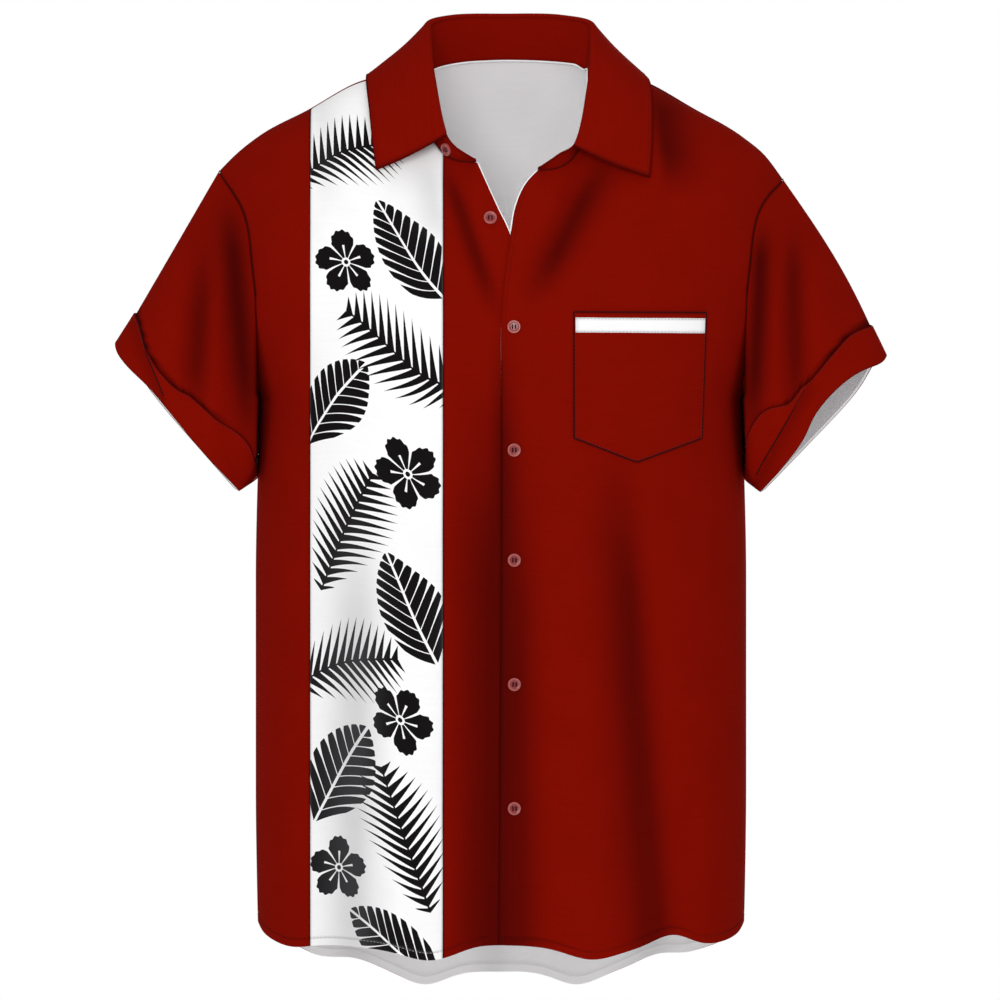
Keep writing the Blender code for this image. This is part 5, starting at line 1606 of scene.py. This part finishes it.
def woven(tree, shader, print_on, deep, light, hollow, strength):
    """The surface of a light plain weave: uneven yarns in two shades, with shade painted into the colour in
    the hollows of folds and beside edges, and a fine over-and-under relief. `print_on` is the ink's socket,
    or None."""
    uv = node(tree, "UVMap", uv_map="cloth").outputs[0]
    # A yarn is about 0.25 mm in the real cloth, and is drawn WEAVE_PITCH wide to show at all.
    yarns = {"Vector": uv, "Scale": WAVE_PERIOD / (WEAVE_PITCH * MM)}
    weft = node(tree, "TexWave", yarns, bands_direction="X")
    warp = node(tree, "TexWave", yarns, bands_direction="Y")
    across_it = node(tree, "Math", {0: weft.outputs["Fac"], 1: 0.5}, operation="SUBTRACT")
    along_it = node(tree, "Math", {0: warp.outputs["Fac"], 1: 0.5}, operation="SUBTRACT")
    over = node(tree, "Math", {0: across_it.outputs[0], 1: along_it.outputs[0]}, operation="MULTIPLY")
    bump = node(tree, "Bump", {"Height": over.outputs[0], "Strength": strength, "Distance": 0.0006})
    tree.links.new(bump.outputs[0], shader.inputs["Normal"])
    # Slubs: yarns that run thicker and darker for some 40 mm, drawn 2.6 mm wide to show.
    stretched = node(tree, "Mapping", {"Vector": uv, "Scale": (26.0, 380.0, 1.0)})
    slubs = node(tree, "TexNoise", {"Vector": stretched.outputs[0], "Scale": 1.0, "Detail": 2.0})
    # The dye takes a little unevenly, in clouds some 55 mm across.
    broad = node(tree, "TexNoise", {"Vector": uv, "Scale": 18.0, "Detail": 2.0})
    mixed = node(tree, "Math", {0: slubs.outputs["Fac"], 1: broad.outputs["Fac"]}, operation="ADD")
    uneven = node(tree, "MapRange", {"Value": mixed.outputs[0], "From Min": 0.75, "From Max": 1.25})
    tone = node(tree, "Mix", {
        "Factor": uneven.outputs[0], "A": linear(deep), "B": linear(light),
    }, data_type="RGBA")
    result = tone.outputs["Result"]
    if print_on is not None:
        result = node(tree, "Mix", {
            "Factor": print_on, "A": result, "B": linear(INK),
        }, data_type="RGBA").outputs["Result"]
    # Painted shade: the attribute fold mixes the colour towards the shade colour `hollow`, in the hollows
    # of folds and beside edges.
    fold = node(tree, "Attribute", attribute_name="fold").outputs["Fac"]
    result = node(tree, "Mix", {
        "Factor": fold, "A": result, "B": linear(hollow),
    }, data_type="RGBA").outputs["Result"]
    tree.links.new(result, shader.inputs["Base Color"])


def dyed_cloth(name, deep, light, hollow, strength=0.15, painted_glow=0.0, is_printed=False):
    # Light plain-woven rayon, piece-dyed: matte and even, without a shine of its own, so the eye reads the
    # broad bands of its folds, which are partly shade painted into its colour, and close to, the grain of
    # its yarns. The undyed reverse also has a faint painted glow, an even emission that lightens its shaded
    # insides.
    made, tree, shader = new_material(name)
    shader.inputs["Roughness"].default_value = 0.95
    shader.inputs["Specular IOR Level"].default_value = 0.02
    # A faint painted glow: an even white emission that lightens the reverse's shaded insides.
    shader.inputs["Emission Color"].default_value = (1.0, 1.0, 1.0, 1.0)
    shader.inputs["Emission Strength"].default_value = painted_glow
    woven(tree, shader, printed(tree) if is_printed else None, deep, light, hollow, strength)
    return made


def sewing_thread(name, colour, dark):
    # Spun polyester sewing thread: two plies twisted, a little glossier than the cloth, so a
    # row of stitches reads as a fine broken line.
    made, tree, shader = new_material(name)
    shader.inputs["Roughness"].default_value = 0.7
    shader.inputs["Specular IOR Level"].default_value = 0.08
    place_in = node(tree, "TexCoord").outputs["Object"]
    # The plies' twist repeats about every 0.7 mm.
    plies = node(tree, "TexNoise", {"Vector": place_in, "Scale": 1400.0, "Detail": 1.0})
    tone = node(tree, "Mix", {
        "Factor": plies.outputs["Fac"], "A": linear(dark), "B": linear(colour),
    }, data_type="RGBA")
    tree.links.new(tone.outputs["Result"], shader.inputs["Base Color"])
    return made


def rose_resin():
    # Cast polyester resin, tumbled smooth: a satin gloss, a paler rim that is a painted highlight,
    # and faint clouds from the casting.
    made, tree, shader = new_material("cast_rose_resin")
    shader.inputs["IOR"].default_value = 1.54
    shader.inputs["Roughness"].default_value = 0.28
    uv = node(tree, "UVMap", uv_map="face").outputs[0]
    # Painted highlight: the rim is made paler than the dish.
    out = node(tree, "VectorMath", {0: uv}, operation="LENGTH")
    rim = node(tree, "MapRange", {
        "Value": out.outputs["Value"], "From Min": 0.0028, "From Max": 0.0046,
    }, interpolation_type="SMOOTHSTEP")
    clouds = node(tree, "TexNoise", {"Vector": uv, "Scale": 260.0, "Detail": 2.0})
    base = node(tree, "Mix", {
        "Factor": clouds.outputs["Fac"], "A": linear("#701c20"), "B": linear("#8a2c2e"),
    }, data_type="RGBA")
    tone = node(tree, "Mix", {
        "Factor": rim.outputs[0], "A": base.outputs["Result"], "B": linear("#a04a46"),
    }, data_type="RGBA")
    tree.links.new(tone.outputs["Result"], shader.inputs["Base Color"])
    return made


def pale_floor():
    # Matt emulsion on a smooth studio floor: nothing for the eye but a soft even tone.
    made, tree, shader = new_material("painted_studio_floor")
    shader.inputs["Roughness"].default_value = 0.9
    place_in = node(tree, "TexCoord").outputs["Object"]
    cloud = node(tree, "TexNoise", {"Vector": place_in, "Scale": 0.8, "Detail": 1.0})
    tone = node(tree, "Mix", {
        "Factor": cloud.outputs["Fac"], "A": linear("#f4f4f4"), "B": linear("#fafafa"),
    }, data_type="RGBA")
    tree.links.new(tone.outputs["Result"], shader.inputs["Base Color"])
    return made


# ---------------------------------------------------------------- putting it together

def sunk_at(x):
    """How far the under front edge lies below the form, so that the upper one clears it."""
    return (CAD_CLOTH + 2 * LAYER_GAP) * ease(x, *UNDERLAP)


def armhole_loops(nets, back):
    """Each armhole's loop of points, with the facing of the body along it."""
    arm = np.s_[ROWS_BODY:]
    loops = {}
    for name in SLEEVES:
        front_net, column = (nets["side"], 0) if name == "right" else (nets["upper"], -1)
        parts = []
        for side, net in ((FRONT, front_net), (BACK, back)):
            line = net[arm, column]
            parts.append((form(side, *line.T), facing(side, *line.T)))
        loops[name] = [np.concatenate([f, b[::-1][1:-1]]) for f, b in zip(*parts)]
    return loops


def add_arms(nets, back, slots):
    """The sleeves with their cuffs, and for each the facing and depth of the body's armhole edges
    where they meet it."""
    arms, edges = {}, {}
    plain = np.full(ROWS_BODY, SEAM_DEPTH)
    for name, (loop, loop_facing) in armhole_loops(nets, back).items():
        spec = SLEEVES[name]
        first = sleeve_net(spec, loop, np.array([0.0, 0.05, 0.10])[:, None] + 0 * ARM_ANGLE)
        first_facing = net_facing(first, True)[0] * -spec["sign"]
        shared = shared_facing(loop_facing, first_facing)
        depth = SEAM_DEPTH * alike(loop_facing, first_facing)[:, 0]
        edges[name] = {
            "front": shared[: ROWS_ARMHOLE + 1],
            "back": np.concatenate([shared[:1], shared[ROWS_ARMHOLE:][::-1]]),
            "front_dip": np.concatenate([plain, depth[: ROWS_ARMHOLE + 1]]),
            "back_dip": np.concatenate([plain, depth[:1], depth[ROWS_ARMHOLE:][::-1]]),
        }
        arms[name] = sleeve_pieces(name, spec, loop, loop_facing, slots)
    return arms, edges


def add_body(nets, back, edges, slots, panel_slots):
    """The panels of the body, by name, each with its outer net and facing."""
    rows = np.arange(ROWS_BODY + ROWS_CHEST + ROWS_NECK + 1)
    neck_rows = np.where(rows >= ROWS_BODY + ROWS_CHEST, 0.0, 0.3)
    return {
        "side": add_panel(
            "cloth_front_right_side", FRONT, nets["side"], slots,
            {"left": edges["right"]["front_dip"], "right": SEAM_DEPTH, "top": SEAM_DEPTH},
            armhole=[(0, edges["right"]["front"])],
            lines={"left": SEAM_TONE, "right": 0.6, "top": SEAM_TONE},
        ),
        "insert": add_panel(
            "cloth_front_right_insert", FRONT, nets["insert"], panel_slots,
            {"left": SEAM_DEPTH, "right": SEAM_DEPTH, "top": SEAM_DEPTH},
            lines={"left": 0.5, "right": 0.5, "top": 0.7},
        ),
        "centre": add_panel(
            "cloth_front_right_centre", FRONT, nets["centre"], slots,
            {"left": SEAM_DEPTH, "right": 0.3, "top": 0.0}, sunk=sunk_at, pale_edges=("right",),
            lines={"left": SEAM_TONE, "top": SEAM_TONE},
        ),
        "left": add_panel(
            "cloth_front_left", FRONT, nets["upper"], slots,
            {"left": neck_rows, "right": edges["left"]["front_dip"], "top": SEAM_DEPTH},
            armhole=[(-1, edges["left"]["front"])], pale_edges=("left",),
            lines={"left": np.where(rows < ROWS_CLOSED, SEAM_TONE, 0.3), "right": SEAM_TONE,
                   "top": SEAM_TONE},
        ),
        "back": add_panel(
            "cloth_back", BACK, back, slots,
            {"left": edges["right"]["back_dip"], "right": edges["left"]["back_dip"],
             "top": SEAM_DEPTH},
            armhole=[(0, edges["right"]["back"]), (-1, edges["left"]["back"])],
            lines={"left": SEAM_TONE, "right": SEAM_TONE, "top": SEAM_TONE},
        ),
    }


def add_seams(nets, arms, thread, white):
    """Dark cords that stand in for the shadow lines of the seams between the pieces, the cuffs' creases
    and the pocket's outline, and white cords for the neck's binding and the facings' rolled edges. `nets`
    gives each piece's outer net and facing."""
    nape, chest = NAPE_COLUMNS, ROWS_BODY + ROWS_CHEST
    back = nets["back"]
    add_cords("shadow_lines_of_body_seams", [
        edge_of(nets["side"], np.s_[:, -1]), edge_of(nets["centre"], np.s_[:, 0]),
        edge_of(back, np.s_[:ROWS_BODY + 1, 0]), edge_of(back, np.s_[:ROWS_BODY + 1, -1]),
        edge_of(back, np.s_[-1, :nape.start + 1]), edge_of(back, np.s_[-1, nape.stop - 1:]),
        *(edge_of(arm[0][1], 0) for arm in arms.values()),
    ], CORDS["body seam"], thread)
    add_cords("shadow_line_of_neck_seam", [edge_of(nets["stand"], 0)], CORDS["neck seam"], thread)
    # The neck's white binding runs inside the stand, just below its seam.
    points, seen = nets["stand"]
    up = unit(points[1] - points[0])
    add_cords("binding_of_neck", [
        [points[0] - up * 1.0 - seen[0] * (COLLAR_CLOTH + 0.2), seen[0]],
    ], CORDS["neck binding"], white)
    # Where the collar is open, the fronts' white facings roll out a little past their edges.
    rolled = []
    for net, column, beyond in ((nets["centre"], -1, -2), (nets["left"], 0, 1)):
        opening = (np.arange(len(net[0])) <= chest) & (net[0][:, column, 2] > OPENING_FOOT)
        line, seen = edge_of(net, (opening, column))
        outwards = unit(line - net[0][opening, beyond])
        rolled.append([line + outwards * 0.5 - seen * 0.5, seen])
    add_cords("rolled_edge_of_facings", rolled, CORDS["facing"], white)
    add_cords("shadow_lines_of_cuff_creases", [
        over_cuff(arm[1][1], SLEEVES[name]["cuff_crease"]) for name, arm in arms.items()
    ], CORDS["cuff crease"], thread)
    add_cords("shadow_outline_of_pocket", [
        edge_of(nets["pocket"], part) for part in (np.s_[:, 0], np.s_[0], np.s_[:, -1], np.s_[-1])
    ], CORDS["pocket outline"], thread)


def add_stitches(nets, arms, red, rose_highlight, grey):
    """The rows of stitches that show on the cloth."""
    def rows(piece, sides, distance, part=np.s_[:]):
        return [beside(nets[piece], side, STITCHED_IN[distance], part) for side in sides.split()]

    sewn("stitching_hem_red", [
        line for piece in ("side", "centre", "left", "back") for line in rows(piece, "foot", "hem")
    ], red)
    sewn("stitching_hem_white", rows("insert", "foot", "hem"), grey)
    opening = np.s_[2:ROWS_BODY + ROWS_CHEST - 6]
    sewn("stitching_front_edge", rows("left", "left", "front edge", opening), red)
    sewn("stitching_pocket", rows("pocket", "left right foot", "pocket"), rose_highlight)
    sewn("stitching_trim", rows("trim", "foot top", "trim"), grey)
    sewn("stitching_collar", [
        *rows("leaf", "top", "leaf"), *rows("leaf", "left right", "leaf", np.s_[FOLD_STEPS + 2:]),
        *rows("stand", "foot", "stand"),
    ], red)
    sewn("stitching_cuffs", [
        beside(arm[1][1], "foot", STITCHED_IN["cuff"]) for arm in arms.values()
    ], rose_highlight)


def declare(piece, node_name):
    """A cloth piece's body and solid."""
    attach(piece, "root")
    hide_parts(node_name)


def main():
    # The last colour of each cloth is its painted shade, for the hollows of folds and the lines beside
    # edges.
    red = dyed_cloth("piece_dyed_red_rayon", "#7a0b01", "#7e0c02", "#240202")
    pale = dyed_cloth("undyed_rayon_reverse", "#f2f0f1", "#f5f3f4", "#8f8d90", painted_glow=0.035)
    white = dyed_cloth("bleached_white_rayon", "#f8f7f8", "#fafafa", "#5a595c")
    panel_white = dyed_cloth(
        "screen_printed_white_rayon", "#f8f7f8", "#fafafa", "#5a595c", is_printed=True,
    )
    # Dark maroon: the buttons' threads, and the cords that paint shadow lines along seams, creases and the
    # pocket's outline.
    thread_and_shadow_lines = sewing_thread("maroon_thread_and_shadow_lines", "#35060a", "#240407")
    red_thread = sewing_thread("red_top_thread", "#6c0a06", "#560804")
    # Rose stitches on the pocket and cuffs: real stitching, its pale colour a painted highlight line beside
    # their dark outlines.
    rose_highlight_thread = sewing_thread("rose_thread_painted_highlight", "#8c2b2b", "#6f1a1a")
    grey_thread = sewing_thread("grey_hem_thread", "#b9b7b9", "#9b999b")
    resin = rose_resin()

    nets, back = front_nets(), back_net()
    arms, edges = add_arms(nets, back, (red, pale))
    made = add_body(nets, back, edges, (red, pale), (panel_white, pale))
    loop = neck_loop(nets, back)
    made["stand"] = add_stand(loop, (red, red))
    stand_net = made["stand"][1]
    made["leaf"] = add_leaf(loop, stand_net[1][-1], (red, red))
    made["pocket"], made["trim"] = add_pocket((red, pale), (white, pale))
    place_buttons(stand_net, resin, thread_and_shadow_lines)
    piece = {name: pair[0] for name, pair in made.items()}
    outer = {name: pair[1] for name, pair in made.items()}
    add_seams(outer, arms, thread_and_shadow_lines, white)
    add_stitches(outer, arms, red_thread, rose_highlight_thread, grey_thread)

    declare(piece["side"], "front_right_side")
    declare(piece["insert"], "front_right_insert")
    declare(piece["centre"], "front_right_centre")
    declare(piece["left"], "front_left")
    declare(piece["back"], "back")
    for name, ((sleeve, _), (cuff, _)) in arms.items():
        declare(sleeve, f"sleeve_{name}")
        declare(cuff, f"cuff_{name}")
    declare(piece["stand"], "collar_stand")
    declare(piece["leaf"], "collar_leaf")
    declare(piece["pocket"], "pocket")
    declare(piece["trim"], "pocket_trim")


main()
set_stage()
